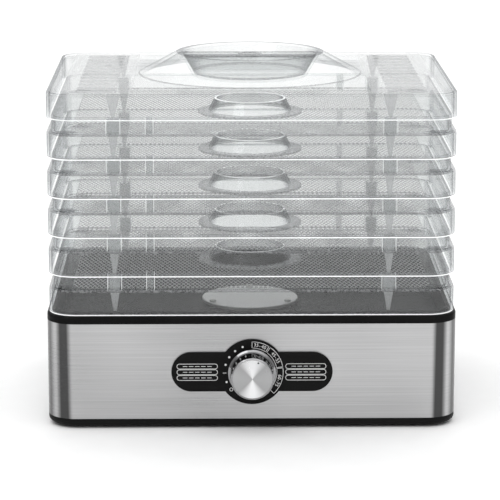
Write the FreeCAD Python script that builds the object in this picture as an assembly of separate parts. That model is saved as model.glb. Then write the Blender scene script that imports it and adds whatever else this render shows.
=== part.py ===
import FreeCAD, Part
import math
import os

# Food dehydrator: a heated fan base with a control dial, five clear stacking trays and a clear lid.
# Millimetres, +Z up, front towards -Y.  Every piece is drawn about the upright axis of the stack and is
# moved back by STACK_Y when it is saved, so that the origin is under the middle of the whole object.

Vec = FreeCAD.Vector

# ---- Driving dimensions -------------------------------------------------------------------------

# Plan of the clear tiers and of the base below them
TIER_WIDTH = 330.0
TIER_DEPTH = 250.0
TIER_CORNER = 22.0
BASE_WIDTH = 334.0
BASE_DEPTH = 254.0
BASE_CORNER = 24.0

# Heights in the base
PAN_BOTTOM = 2.0
BAND_BOTTOM = 8.3
BAND_TOP = 87.7
FLANGE_TOP = 93.6
UPSTAND_TOP = 97.0
DECK_TOP = 75.0
DECK_THICK = 2.0

# Stack of tiers: the lowest skirt, the step from one tier to the next, and how many trays
LOWEST_SKIRT = 94.12
TIER_PITCH = 31.89
TRAY_COUNT = 5

# One tier: heights are measured from its ledge, the shoulder that joins its skirt to its inner wall
SKIRT_DROP = 21.3
SKIRT_WALL = 2.0
SHOULDER_ROUND = 2.8
RIM_INSET = 4.0
RIM_WALL = 2.0
RIM_RISE = 13.0
FLOOR_UNDER = -2.0
FLOOR_TOP = -0.6

# Hollow towers and the cross-shaped stakes that stand on the tower of the tier below
STAKE_X = 111.0
STAKE_Y = 114.5
TOWER_WIDTH = 12.0
TOWER_DEPTH = 10.0
TOWER_RISE = 11.5
TOWER_WALL = 1.6
FIN_THICK = 1.8
FIN_TIP_HALF = 1.2
SEAT_GAP = 0.05

# Square posts that steady the food, one in front and one behind, and the chimney collar of a tray
POST_X = 82.0
POST_SIDE = 7.0
POST_WALL = 1.4
COLLAR_FOOT = 36.0
COLLAR_TOP = 30.0
COLLAR_RISE = 11.0
COLLAR_WALL = 2.0

# Lid: plate, crater-shaped dome, bar handle across it and the vent slots beside it
LID_PLATE = 2.0
LID_RISE = 21.03
LID_ROUND = 3.0
DOME_FOOT = 94.0
DOME_RIM = 61.0
DOME_HEIGHT = 18.0
WELL_FLOOR = 47.0
HANDLE_HALF = 17.0
HANDLE_RISE = 16.0
VENT_X = 125.0
VENT_LENGTH = 32.0
VENT_WIDTH = 6.0
VENT_PITCH = 18.3
VENT_COUNT = 12

# Steel band and the black mouldings that meet it
BAND_WALL = 0.8
LIP_GAP = 0.2
LIP_WALL = 2.0
LIP_HEIGHT = 6.0
PAN_FLOOR = 2.2
UPSTAND_INSET = 6.0
UPSTAND_WALL = 2.2

# Case screws, feet and air inlet
SCREW_SPOTS = [(x, y) for x in (-146.0, 146.0) for y in (-104.0, 104.0)] + [(-150.0, 0.0), (150.0, 0.0)]
FOOT_SPOTS = [(x, y) for x in (-130.0, 130.0) for y in (-95.0, 95.0)]
FOOT_RADIUS = 8.5
BOSS_RADIUS = 5.0
BOSS_BOTTOM = 20.0
SCREW_RADIUS = 1.9
SCREW_HEAD_TOP = 9.0
INLET_RADIUS = 44.0

# Control: fascia plate, dial knob and thermostat, on one axis along Y
CONTROL_Z = 48.0
FASCIA_LENGTH = 131.0
FASCIA_HEIGHT = 32.8
FASCIA_DISC = 27.2
FASCIA_THICK = 2.0
KNOB_REACH = 22.5
KNOB_FLANGE = 19.4
KNOB_FACE = 17.3
CAP_RADIUS = 15.9
CAP_THICK = 0.9
SPINDLE_RADIUS = 3.0
BUSH_RADIUS = 4.9
NUT_THICK = 3.0
RUNNING_GAP = 0.05
PEG_SPOTS = (-52.0, 52.0)
PEG_RADIUS = 2.0
TAB_X = 7.0
TAB_REACH = 27.0

# Air outlet, heater and fan, on the stack's axis
OUTLET_RADIUS = 32.0
DISC_RADIUS = 41.0
DISC_LOW = 79.0
DISC_THICK = 1.2
DISC_SCREW_RING = 36.8
SHIELD_RADIUS = 43.5
SHIELD_WALL = 0.8
SHIELD_BOTTOM = 46.0
ELEMENT_RING = 28.0
ELEMENT_RADIUS = 2.6
ELEMENT_Z = 67.5
ELEMENT_END = 52.0
CUTOUT_RADIUS = 4.0
CUTOUT_HALF = 5.5
CUTOUT_Z = 58.0
SHAFT_RADIUS = 2.0
BEARING_RADIUS = 4.5
ROTOR_RADIUS = 12.0
FAN_RADIUS = 36.0
FAN_LOW = 47.5
FAN_HIGH = 60.0
FAN_BLADES = 12

# Motor: laminated core between two bearing straps, on posts of the pan
CORE_SPAN = (22.0, 38.0)
COIL_X = 40.0
COIL_HALF = 11.0
BOLT_Y = 16.5
MOUNT_Y = 34.0
STRAP_THICK = 1.5
LOWER_STRAP = 14.0
UPPER_STRAP = 44.0

# Cord entry at the back; the cord itself is not part of the model
GLAND_X = -45.0
GLAND_Z = 26.0
GLAND_REACH = 9.0
GLAND_NECK = 6.0
CORD_HOLE = 3.4

# Terminal block and leads
TERMINAL_X = (-55.0, -45.0, -35.0)
TERMINAL_Y = 86.0
TERMINAL_Z = 11.0
LEAD_RADIUS = 1.3

# ---- Places worked out from them ----------------------------------------------------------------

BAND_FRONT = -BASE_DEPTH / 2
FASCIA_FRONT = BAND_FRONT - FASCIA_THICK
KNOB_FRONT = FASCIA_FRONT - KNOB_REACH
STACK_Y = -(KNOB_FRONT + BASE_DEPTH / 2 + GLAND_REACH) / 2
DECK_UNDER = DECK_TOP - DECK_THICK
LID_SKIRT = LOWEST_SKIRT + TRAY_COUNT * TIER_PITCH
LID_TOP = LID_SKIRT + LID_RISE
PAN_FLOOR_TOP = PAN_BOTTOM + PAN_FLOOR
CUTOUT_X = -SHIELD_RADIUS - CUTOUT_RADIUS - 0.6
DISC_SPOTS = [(DISC_SCREW_RING * math.cos(math.radians(turn)), DISC_SCREW_RING * math.sin(math.radians(turn)))
              for turn in (90, 210, 330)]
LEDGE_OF_TRAY = {number: LOWEST_SKIRT + (TRAY_COUNT - number) * TIER_PITCH + SKIRT_DROP
                 for number in range(1, TRAY_COUNT + 1)}


# ---- Shared shapes ------------------------------------------------------------------------------

def block(x_span, y_span, z_span):
    """Square-cornered block between three pairs of planes."""
    size = [high - low for low, high in (x_span, y_span, z_span)]
    return Part.makeBox(*size, Vec(x_span[0], y_span[0], z_span[0]))


def slab(width, depth, corner, z_low, z_high):
    """Upright block with rounded corners about the stack's axis."""
    body = block((-width / 2, width / 2), (-depth / 2, depth / 2), (z_low, z_high))
    uprights = [edge for edge in body.Edges if edge.BoundBox.ZLength > 0.5 * (z_high - z_low)]
    return body.makeFillet(corner, uprights)


def tier_slab(inset, z_low, z_high):
    """Slab of the tiers' plan, drawn in by inset."""
    return slab(TIER_WIDTH - 2 * inset, TIER_DEPTH - 2 * inset, TIER_CORNER - inset, z_low, z_high)


def base_slab(inset, z_low, z_high):
    """Slab of the base's plan, drawn in by inset."""
    return slab(BASE_WIDTH - 2 * inset, BASE_DEPTH - 2 * inset, BASE_CORNER - inset, z_low, z_high)


def round_edges_at(shape, z, radius):
    """Round every edge that lies at one height."""
    level = [edge for edge in shape.Edges
             if abs(edge.BoundBox.ZMin - z) < 0.01 and abs(edge.BoundBox.ZMax - z) < 0.01]
    return shape.makeFillet(radius, level)


def rod(radius, x, y, z_low, z_high):
    """Upright cylinder."""
    return Part.makeCylinder(radius, z_high - z_low, Vec(x, y, z_low))


def rod_y(radius, x, z, y_low, y_high):
    """Cylinder along Y."""
    return Part.makeCylinder(radius, y_high - y_low, Vec(x, y_low, z), Vec(0, 1, 0))


def turned(profile, x=0.0, z=0.0, along_y=False):
    """Solid turned from (radius, height) points, about the stack's axis or about an axis along Y."""
    if along_y:
        points = [Vec(radius, height, 0) for radius, height in profile]
        axis = Vec(0, 1, 0)
    else:
        points = [Vec(radius, 0, height) for radius, height in profile]
        axis = Vec(0, 0, 1)
    face = Part.Face(Part.makePolygon(points + points[:1]))
    solid = face.revolve(Vec(0, 0, 0), axis, 360)
    solid.translate(Vec(x, 0, z))
    return solid


def joined(first, *others):
    """One solid from several that touch."""
    return first.multiFuse(list(others)).removeSplitter()


def without(shape, tools):
    """Shape with every tool cut away."""
    return shape.cut(Part.makeCompound(tools))


def save(name, *solids):
    """Write one node, moved to the object's own frame."""
    shape = solids[0] if len(solids) == 1 else Part.makeCompound(list(solids))
    moved = shape.copy()
    moved.translate(Vec(0, STACK_Y, 0))
    moved.exportStep("parts/" + name + ".step")
    print(name, len(moved.Solids), "solids", round(moved.Volume / 1000, 2), "cm3", "valid", moved.isValid())


# ---- Clear tiers --------------------------------------------------------------------------------

def stake(x, y, z_top, z_tip, half_x, half_y):
    """Tapered stake of two crossed fins, hanging from z_top."""
    fins = []
    for half, across in ((half_x, False), (half_y, True)):
        outline = [(-half, z_top), (half, z_top), (FIN_TIP_HALF, z_tip), (-FIN_TIP_HALF, z_tip)]
        points = [Vec(side, -FIN_THICK / 2, z) for side, z in outline]
        fin = Part.Face(Part.makePolygon(points + points[:1])).extrude(Vec(0, FIN_THICK, 0))
        if across:
            fin.rotate(Vec(0, 0, 0), Vec(0, 0, 1), 90)
        fin.translate(Vec(x, y, 0))
        fins.append(fin)
    return fins[0].fuse(fins[1])


def four_corners():
    """Places of the stakes, near the ends of the front and back walls."""
    return [(x, y) for x in (-STAKE_X, STAKE_X) for y in (-STAKE_Y, STAKE_Y)]


def posts(ledge, inset, z_low, z_high):
    """The two square posts on the inner wall, turned half round from each other."""
    wall_y = TIER_DEPTH / 2 - RIM_INSET - RIM_WALL
    near, far = wall_y - POST_SIDE + inset, wall_y + 0.5 - inset
    half = POST_SIDE / 2 - inset
    front = block((-POST_X - half, -POST_X + half), (-far, -near), (ledge + z_low, ledge + z_high))
    back = block((POST_X - half, POST_X + half), (near, far), (ledge + z_low, ledge + z_high))
    return [front, back]


def make_tray(ledge):
    """Clear tray: skirt, shoulder, inner wall, floor, chimney collar, towers, stakes and posts."""
    skirt = round_edges_at(tier_slab(0, ledge - SKIRT_DROP, ledge), ledge, SHOULDER_ROUND)
    skirt = skirt.cut(tier_slab(SKIRT_WALL, ledge - SKIRT_DROP - 1, ledge + FLOOR_UNDER))
    rim = tier_slab(RIM_INSET, ledge + FLOOR_UNDER, ledge + RIM_RISE)
    pan = tier_slab(RIM_INSET + RIM_WALL, ledge + FLOOR_TOP, ledge + RIM_RISE + 1)
    tray = joined(skirt, rim).cut(pan)

    half_width, half_depth = TOWER_WIDTH / 2, TOWER_DEPTH / 2
    tip = ledge - (TIER_PITCH - TOWER_RISE) + SEAT_GAP
    towers, hollows, stakes = [], [], []
    for x, y in four_corners():
        sides = (x - half_width, x + half_width), (y - half_depth, y + half_depth)
        towers.append(block(*sides, (ledge + FLOOR_UNDER, ledge + TOWER_RISE)))
        narrow = [(low + TOWER_WALL, high - TOWER_WALL) for low, high in sides]
        hollows.append(block(*narrow, (ledge + FLOOR_UNDER - 1, ledge + TOWER_RISE - TOWER_WALL)))
        roof = ledge + TOWER_RISE - TOWER_WALL / 2
        stakes.append(stake(x, y, roof, tip, half_width - 0.2, half_depth - 0.2))

    foot = ledge + FLOOR_UNDER
    collar_height = COLLAR_RISE + FLOOR_TOP - FLOOR_UNDER
    collar, chimney = [Part.makeCone(COLLAR_FOOT - inset, COLLAR_TOP - inset, collar_height, Vec(0, 0, foot))
                       for inset in (0, COLLAR_WALL)]
    tray = joined(tray, collar, *towers, *posts(ledge, 0, FLOOR_UNDER, RIM_RISE))
    hollows += posts(ledge, POST_WALL, FLOOR_UNDER - 1, RIM_RISE - POST_WALL)
    tray = without(tray, hollows + [chimney])
    return joined(tray, *stakes)


def make_dome():
    """Crater-shaped shell: outer cone, rim, well wall and well floor, hollow beneath."""
    plate_under = LID_TOP - LID_PLATE
    rim = LID_TOP + DOME_HEIGHT
    return turned([
        (DOME_FOOT, LID_TOP), (DOME_RIM + 1, rim - 1), (DOME_RIM, rim), (DOME_RIM - 3, rim),
        (DOME_RIM - 4, rim - 1), (WELL_FLOOR, LID_TOP), (0, LID_TOP), (0, plate_under),
        (WELL_FLOOR + 1.2, plate_under), (DOME_RIM - 2.5, rim - LID_PLATE), (DOME_RIM - 1, rim - LID_PLATE),
        (DOME_FOOT - 3.5, plate_under), (DOME_FOOT, plate_under)])


def handle_bar(shrink, z_low, z_high, half_length):
    """Bar along X whose long sides lean in, drawn in by shrink all round."""
    lean = 3.0
    half = HANDLE_HALF - shrink
    outline = [(-half, z_low), (half, z_low), (half - lean, z_high), (-half + lean, z_high)]
    points = [Vec(-half_length, y, z) for y, z in outline]
    return Part.Face(Part.makePolygon(points + points[:1])).extrude(Vec(2 * half_length, 0, 0))


def vent_slots():
    """Round-ended slots through the lid plate, a row on each side."""
    slots = []
    run = VENT_LENGTH / 2 - VENT_WIDTH / 2
    for side in (-1, 1):
        for row in range(VENT_COUNT):
            y = (row - (VENT_COUNT - 1) / 2) * VENT_PITCH
            x = side * VENT_X
            z_span = (LID_TOP - LID_PLATE - 1, LID_TOP + 1)
            bar = block((x - run, x + run), (y - VENT_WIDTH / 2, y + VENT_WIDTH / 2), z_span)
            ends = [rod(VENT_WIDTH / 2, x + end * run, y, *z_span) for end in (-1, 1)]
            slots.append(joined(bar, *ends))
    return slots


def make_lid():
    """Clear lid: skirt and plate, dome with its handle, vent slots and four stakes."""
    plate_under = LID_TOP - LID_PLATE
    lid = round_edges_at(tier_slab(0, LID_SKIRT, LID_TOP), LID_TOP, LID_ROUND)
    lid = lid.cut(round_edges_at(tier_slab(SKIRT_WALL, LID_SKIRT - 1, plate_under), plate_under, 1.0))
    lid = lid.cut(rod(DOME_FOOT - 1, 0, 0, plate_under - 1, LID_TOP + 1))
    rim = LID_TOP + DOME_HEIGHT
    well = turned([(0, LID_TOP - 1), (WELL_FLOOR + 1, LID_TOP - 1), (DOME_RIM - 2.5, rim), (0, rim)])
    bar = handle_bar(0, LID_TOP - 1, LID_TOP + HANDLE_RISE, DOME_RIM).common(well)
    bar = round_edges_at(bar, LID_TOP + HANDLE_RISE, 1.5)
    hollow = handle_bar(LID_PLATE, plate_under - 1, LID_TOP + HANDLE_RISE - LID_PLATE, WELL_FLOOR - 3)
    tip = LEDGE_OF_TRAY[1] + TOWER_RISE + SEAT_GAP
    half_x, half_y = TOWER_WIDTH / 2 - 0.3, TOWER_DEPTH / 2 - 0.5
    stakes = [stake(x, y, plate_under + 0.5, tip, half_x, half_y) for x, y in four_corners()]
    lid = joined(lid, make_dome(), bar)
    return joined(without(lid, [hollow] + vent_slots()), *stakes)


# ---- Base case ----------------------------------------------------------------------------------

def make_bottom_pan():
    """Black pan: floor with air inlet, lip inside the band, screw pillars and motor posts."""
    pan = round_edges_at(base_slab(0, PAN_BOTTOM, BAND_BOTTOM), PAN_BOTTOM, 4.0)
    lip_inset = BAND_WALL + LIP_GAP
    pan = joined(pan, base_slab(lip_inset, BAND_BOTTOM - 1, BAND_BOTTOM + LIP_HEIGHT))
    pan = pan.cut(base_slab(lip_inset + LIP_WALL, PAN_FLOOR_TOP, BAND_BOTTOM + LIP_HEIGHT + 1))
    pillars = [rod(BOSS_RADIUS + 1, x, y, PAN_BOTTOM + 1, BOSS_BOTTOM) for x, y in SCREW_SPOTS]
    motor_posts = [rod(4.5, 0, y, PAN_BOTTOM + 1, LOWER_STRAP) for y in (-MOUNT_Y, MOUNT_Y)]
    pan = joined(pan, *pillars, *motor_posts)
    holes = [rod(SCREW_RADIUS + 0.2, x, y, PAN_BOTTOM - 1, BOSS_BOTTOM + 1) for x, y in SCREW_SPOTS]
    holes += [rod(4.2, x, y, PAN_BOTTOM - 1, SCREW_HEAD_TOP) for x, y in SCREW_SPOTS]
    holes += [rod(1.55, 0, y, PAN_FLOOR_TOP, LOWER_STRAP + 1) for y in (-MOUNT_Y, MOUNT_Y)]
    holes += [rod(3.05, x, y, PAN_BOTTOM - 1, PAN_FLOOR_TOP + 1) for x, y in FOOT_SPOTS]
    for row in range(-4, 5):
        y = row * 9.0
        reach = math.sqrt(INLET_RADIUS ** 2 - y ** 2)
        for side in (-1, 1):
            ends = sorted((side * 8.0, side * reach))
            holes.append(block(ends, (y - 2, y + 2), (PAN_BOTTOM - 1, PAN_FLOOR_TOP + 0.5)))
    return without(pan, holes)


def make_feet():
    """Four soft feet, each with a button stem through the pan floor."""
    feet = []
    for x, y in FOOT_SPOTS:
        foot = turned([
            (0, 0), (FOOT_RADIUS - 1.2, 0), (FOOT_RADIUS, 1.0), (FOOT_RADIUS, PAN_BOTTOM), (3.0, PAN_BOTTOM),
            (3.0, PAN_FLOOR_TOP), (4.0, PAN_FLOOR_TOP), (2.4, PAN_FLOOR_TOP + 2.5), (0, PAN_FLOOR_TOP + 2.5)])
        foot.translate(Vec(x, y, 0))
        feet.append(foot)
    return feet


def make_case_screws():
    """Six long screws from below, through the pan into the bosses of the top housing."""
    screws = []
    for x, y in SCREW_SPOTS:
        shank = rod(SCREW_RADIUS, x, y, SCREW_HEAD_TOP - 0.5, BOSS_BOTTOM + 12)
        screws.append(joined(rod(3.6, x, y, SCREW_HEAD_TOP - 2.6, SCREW_HEAD_TOP), shank))
    return screws


def make_steel_band():
    """Brushed steel wrap, pierced for the dial bush, the fascia pegs and the cord entry."""
    band = base_slab(0, BAND_BOTTOM, BAND_TOP).cut(base_slab(BAND_WALL, BAND_BOTTOM - 1, BAND_TOP + 1))
    front = (BAND_FRONT - 1, BAND_FRONT + BAND_WALL + 1)
    back = (BASE_DEPTH / 2 - BAND_WALL - 1, BASE_DEPTH / 2 + 1)
    tools = [rod_y(BUSH_RADIUS + 0.3, 0, CONTROL_Z, *front), rod_y(GLAND_NECK + 0.1, GLAND_X, GLAND_Z, *back)]
    tools += [rod_y(PEG_RADIUS + 0.1, x, CONTROL_Z, *front) for x in PEG_SPOTS]
    return without(band, tools)


def make_top_housing():
    """Black top housing: flange, upstand inside the lowest tray, sunken deck, stake pads and screw bosses."""
    flange = round_edges_at(base_slab(0, BAND_TOP, FLANGE_TOP), FLANGE_TOP, 1.6)
    lip_inset = BAND_WALL + LIP_GAP
    lip = base_slab(lip_inset, BAND_TOP - LIP_HEIGHT, BAND_TOP).cut(
        base_slab(lip_inset + LIP_WALL, BAND_TOP - LIP_HEIGHT - 1, BAND_TOP + 1))
    tub = base_slab(UPSTAND_INSET, DECK_UNDER, UPSTAND_TOP)
    recess = base_slab(UPSTAND_INSET + UPSTAND_WALL, DECK_TOP, UPSTAND_TOP + 1)
    housing = joined(flange, lip, tub).cut(recess)
    pad_top = LOWEST_SKIRT + SKIRT_DROP - (TIER_PITCH - TOWER_RISE)
    pads = [block((x - 6, x + 6), (y - 5, y + 5), (DECK_UNDER, pad_top)) for x, y in four_corners()]
    bosses = [rod(BOSS_RADIUS, x, y, BOSS_BOTTOM, DECK_UNDER + 0.5) for x, y in SCREW_SPOTS]
    housing = joined(housing, *pads, *bosses)
    holes = [rod(OUTLET_RADIUS, 0, 0, DECK_UNDER - 1, DECK_TOP + 3)]
    holes += [rod(SCREW_RADIUS + 0.05, x, y, BOSS_BOTTOM - 1, BOSS_BOTTOM + 14) for x, y in SCREW_SPOTS]
    holes += [rod(1.6, x, y, DECK_UNDER - 1, DECK_TOP + 3) for x, y in DISC_SPOTS]
    return without(housing, holes)


def make_cord_gland():
    """Round bush at the back with an outer snout, a flange each side of the band and a cord hole."""
    back = BASE_DEPTH / 2
    inner = back - BAND_WALL
    tip = back + GLAND_REACH
    return turned([
        (CORD_HOLE, back - 5.0), (8.5, back - 5.0), (8.5, inner), (GLAND_NECK, inner), (GLAND_NECK, back),
        (9.0, back), (9.0, back + 2.5), (6.6, back + 3.2), (5.2, tip), (CORD_HOLE, tip)],
        GLAND_X, GLAND_Z, True)


# ---- Control ------------------------------------------------------------------------------------

def make_fascia():
    """Gloss black plate: a disc on a round-ended bar, with two pegs through the band."""
    half_height = FASCIA_HEIGHT / 2
    half_bar = FASCIA_LENGTH / 2 - half_height
    y_span = (FASCIA_FRONT, BAND_FRONT)
    bar = block((-half_bar, half_bar), y_span, (CONTROL_Z - half_height, CONTROL_Z + half_height))
    ends = [rod_y(half_height, x, CONTROL_Z, *y_span) for x in (-half_bar, half_bar)]
    plate = joined(bar, *ends, rod_y(FASCIA_DISC, 0, CONTROL_Z, *y_span))
    front = [edge for edge in plate.Edges if edge.BoundBox.YMax < FASCIA_FRONT + 0.01]
    plate = plate.makeFillet(0.6, front)
    pegs = [rod_y(PEG_RADIUS, x, CONTROL_Z, BAND_FRONT - 0.5, BAND_FRONT + 3.5) for x in PEG_SPOTS]
    return joined(plate, *pegs).cut(rod_y(BUSH_RADIUS + 0.3, 0, CONTROL_Z, FASCIA_FRONT - 1, BAND_FRONT + 1))


def make_knob():
    """Turned dial knob with a skirt flange, hollow over the nut and bored for the spindle."""
    back = FASCIA_FRONT - 1.0
    return turned([
        (0, KNOB_FRONT + 3.5), (SPINDLE_RADIUS + 0.02, KNOB_FRONT + 3.5), (SPINDLE_RADIUS + 0.02, back - 5.5),
        (9.5, back - 5.5), (9.5, back), (KNOB_FLANGE, back), (KNOB_FLANGE, back - 2.6), (18.0, back - 3.6),
        (KNOB_FACE, KNOB_FRONT + 0.8), (KNOB_FACE - 0.8, KNOB_FRONT), (CAP_RADIUS + 0.05, KNOB_FRONT),
        (CAP_RADIUS + 0.05, KNOB_FRONT + CAP_THICK), (0, KNOB_FRONT + CAP_THICK)],
        z=CONTROL_Z, along_y=True)


def make_knob_cap():
    """Spun aluminium disc let into the front of the knob."""
    return rod_y(CAP_RADIUS, 0, CONTROL_Z, KNOB_FRONT + 0.1, KNOB_FRONT + CAP_THICK)


def make_spindle():
    """Thermostat spindle that carries the knob."""
    return rod_y(SPINDLE_RADIUS, 0, CONTROL_Z, KNOB_FRONT + 3.7, BAND_FRONT + 15.0)


def make_thermostat():
    """Thermostat can with its threaded bush and two tabs for the leads."""
    inner = BAND_FRONT + BAND_WALL
    bore = SPINDLE_RADIUS + RUNNING_GAP
    can = turned([
        (bore, FASCIA_FRONT - 5.0), (BUSH_RADIUS, FASCIA_FRONT - 5.0), (BUSH_RADIUS, inner), (13.0, inner),
        (15.0, inner + 2), (15.0, inner + 17), (12.0, inner + 20), (0, inner + 20), (0, inner + 15),
        (bore, inner + 15)], z=CONTROL_Z, along_y=True)
    tab_y = (inner + 19, BAND_FRONT + TAB_REACH)
    tabs = [block((x - 3, x + 3), tab_y, (CONTROL_Z - 0.4, CONTROL_Z + 0.4)) for x in (-TAB_X, TAB_X)]
    return joined(can, *tabs)


def make_thermostat_nut():
    """Hexagon nut that clamps thermostat, band and fascia together."""
    corner = 7.0 / math.cos(math.radians(30))
    turns = [math.radians(60 * index) for index in range(6)]
    points = [Vec(corner * math.cos(turn), FASCIA_FRONT - NUT_THICK, CONTROL_Z + corner * math.sin(turn))
              for turn in turns]
    nut = Part.Face(Part.makePolygon(points + points[:1])).extrude(Vec(0, NUT_THICK, 0))
    return nut.cut(rod_y(BUSH_RADIUS + 0.03, 0, CONTROL_Z, FASCIA_FRONT - NUT_THICK - 1, FASCIA_FRONT + 1))


# ---- Heater -------------------------------------------------------------------------------------

def make_deflector_disc():
    """Pale metal disc that turns the rising air outwards over the deck."""
    rim_drop = 1.4
    top = DISC_LOW + DISC_THICK
    lip = DISC_RADIUS - DISC_THICK
    disc = turned([
        (0, DISC_LOW), (lip, DISC_LOW), (lip, DISC_LOW - rim_drop), (DISC_RADIUS, DISC_LOW - rim_drop),
        (DISC_RADIUS, top - 0.5), (DISC_RADIUS - 0.5, top), (0, top)])
    return without(disc, [rod(1.6, x, y, DISC_LOW - 1, top + 1) for x, y in DISC_SPOTS])


def make_disc_spacers():
    """Tubes that hold the disc above the deck."""
    tubes = []
    for x, y in DISC_SPOTS:
        tubes.append(rod(2.5, x, y, DECK_TOP, DISC_LOW).cut(rod(1.6, x, y, DECK_TOP - 1, DISC_LOW + 1)))
    return tubes


def make_disc_screws():
    """Screws through the disc and its spacers, with nuts under the deck."""
    top = DISC_LOW + DISC_THICK
    screws = []
    for x, y in DISC_SPOTS:
        shank = rod(1.5, x, y, DECK_UNDER - 3.5, top + 0.2)
        head = joined(shank, rod(2.8, x, y, top, top + 1.4), rod(2.8, x, y, DECK_UNDER - 2.4, DECK_UNDER))
        screws.append(head)
    return screws


def make_heat_shield():
    """Sheet metal duct round fan and heater, flanged under the deck."""
    inner = SHIELD_RADIUS - SHIELD_WALL
    shield = turned([
        (inner, SHIELD_BOTTOM), (SHIELD_RADIUS, SHIELD_BOTTOM), (SHIELD_RADIUS, DECK_UNDER - SHIELD_WALL),
        (SHIELD_RADIUS + 7, DECK_UNDER - SHIELD_WALL), (SHIELD_RADIUS + 7, DECK_UNDER), (inner, DECK_UNDER)])
    return shield.cut(block((SHIELD_RADIUS - 4, SHIELD_RADIUS + 4), (-9, 9), (ELEMENT_Z - 4, ELEMENT_Z + 4)))


def make_heater_element():
    """Sheathed ring element with two straight ends out through the shield."""
    ring = Part.makeTorus(ELEMENT_RING, ELEMENT_RADIUS, Vec(0, 0, ELEMENT_Z))
    start = ELEMENT_RING - 2
    length = ELEMENT_END - start
    ends = [Part.makeCylinder(1.6, length, Vec(start, y, ELEMENT_Z), Vec(1, 0, 0)) for y in (-5, 5)]
    return joined(ring, *ends)


def make_heater_frame():
    """Two crossed mica boards that carry the ring element."""
    low, high = FAN_HIGH + 2.5, DECK_UNDER - 1
    reach = SHIELD_RADIUS - SHIELD_WALL - 0.3
    diagonal = []
    for turn in (45, 135):
        board = block((-reach, reach), (-0.6, 0.6), (low, high))
        board.rotate(Vec(0, 0, 0), Vec(0, 0, 1), turn)
        diagonal.append(board)
    return joined(*diagonal).cut(Part.makeTorus(ELEMENT_RING, ELEMENT_RADIUS + 0.1, Vec(0, 0, ELEMENT_Z)))


def make_thermal_fuse():
    """Thermal cut-out: a small can on a clip against the heat shield."""
    can = rod_y(CUTOUT_RADIUS, CUTOUT_X, CUTOUT_Z, -CUTOUT_HALF, CUTOUT_HALF)
    width = (-CUTOUT_RADIUS, CUTOUT_RADIUS)
    clip = block((CUTOUT_X, -SHIELD_RADIUS + 0.2), width, (CUTOUT_Z + 3, CUTOUT_Z + 5))
    return joined(can, clip.cut(rod(SHIELD_RADIUS + 0.02, 0, 0, CUTOUT_Z, DECK_UNDER)))


# ---- Fan motor ----------------------------------------------------------------------------------

def make_stator():
    """Laminated core with the rotor bore, a window and the leg for the coil."""
    core = block((-22, 38), (-20, 20), CORE_SPAN)
    window = block((20, 32), (-13, 13), (CORE_SPAN[0] - 1, CORE_SPAN[1] + 1))
    bolts = [rod(1.6, 0, y, CORE_SPAN[0] - 1, CORE_SPAN[1] + 1) for y in (-BOLT_Y, BOLT_Y)]
    return without(core, [window, rod(ROTOR_RADIUS + 0.5, 0, 0, CORE_SPAN[0] - 1, CORE_SPAN[1] + 1)] + bolts)


def make_motor_coil():
    """Wound coil on the leg of the core."""
    winding = block((25.5, 44.5), (-COIL_HALF, COIL_HALF), (CORE_SPAN[0] - 6.5, CORE_SPAN[1] + 6.5))
    uprights = [edge for edge in winding.Edges if edge.BoundBox.YLength > 20]
    winding = winding.makeFillet(3.0, uprights)
    return winding.cut(block((31.95, 38.05), (-12, 12), (CORE_SPAN[0] - 0.05, CORE_SPAN[1] + 0.05)))


def make_bearing_strap(z_low, reach, fixings):
    """Steel strap across the motor, holding one bearing."""
    strap = block((-6, 6), (-reach, reach), (z_low, z_low + STRAP_THICK))
    strap = joined(strap, rod(8.5, 0, 0, z_low, z_low + STRAP_THICK))
    holes = [rod(BEARING_RADIUS, 0, 0, z_low - 1, z_low + STRAP_THICK + 1)]
    holes += [rod(1.6, 0, y, z_low - 1, z_low + STRAP_THICK + 1) for y in fixings]
    return without(strap, holes)


def make_bearings():
    """Sintered bushes, one in each strap."""
    bushes = []
    for strap_low in (LOWER_STRAP, UPPER_STRAP):
        bush = rod(BEARING_RADIUS, 0, 0, strap_low - 2.0, strap_low + STRAP_THICK)
        bushes.append(bush.cut(rod(SHAFT_RADIUS + 0.04, 0, 0, strap_low - 3, strap_low + 5)))
    return bushes


def make_strap_spacers():
    """Tubes between the core and the two straps."""
    tubes = []
    for span in ((LOWER_STRAP + STRAP_THICK, CORE_SPAN[0]), (CORE_SPAN[1], UPPER_STRAP)):
        for y in (-BOLT_Y, BOLT_Y):
            tubes.append(rod(3.0, 0, y, *span).cut(rod(1.6, 0, y, span[0] - 1, span[1] + 1)))
    return tubes


def make_motor_screws():
    """Two through bolts for the core and two screws that hold the motor on the pan posts."""
    upper = UPPER_STRAP + STRAP_THICK
    bolts = [joined(rod(1.5, 0, y, LOWER_STRAP - 2.5, upper + 0.2), rod(2.8, 0, y, upper, upper + 1.6),
                    rod(2.6, 0, y, LOWER_STRAP - 2, LOWER_STRAP)) for y in (-BOLT_Y, BOLT_Y)]
    lower = LOWER_STRAP + STRAP_THICK
    screws = [joined(rod(1.5, 0, y, PAN_FLOOR_TOP + 2, lower + 0.2), rod(2.8, 0, y, lower, lower + 1.6))
              for y in (-MOUNT_Y, MOUNT_Y)]
    return bolts + screws


def ring(radius, z_low, z_high):
    """Round piece on the motor shaft."""
    return rod(radius, 0, 0, z_low, z_high).cut(rod(SHAFT_RADIUS, 0, 0, z_low - 1, z_high + 1))


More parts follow.
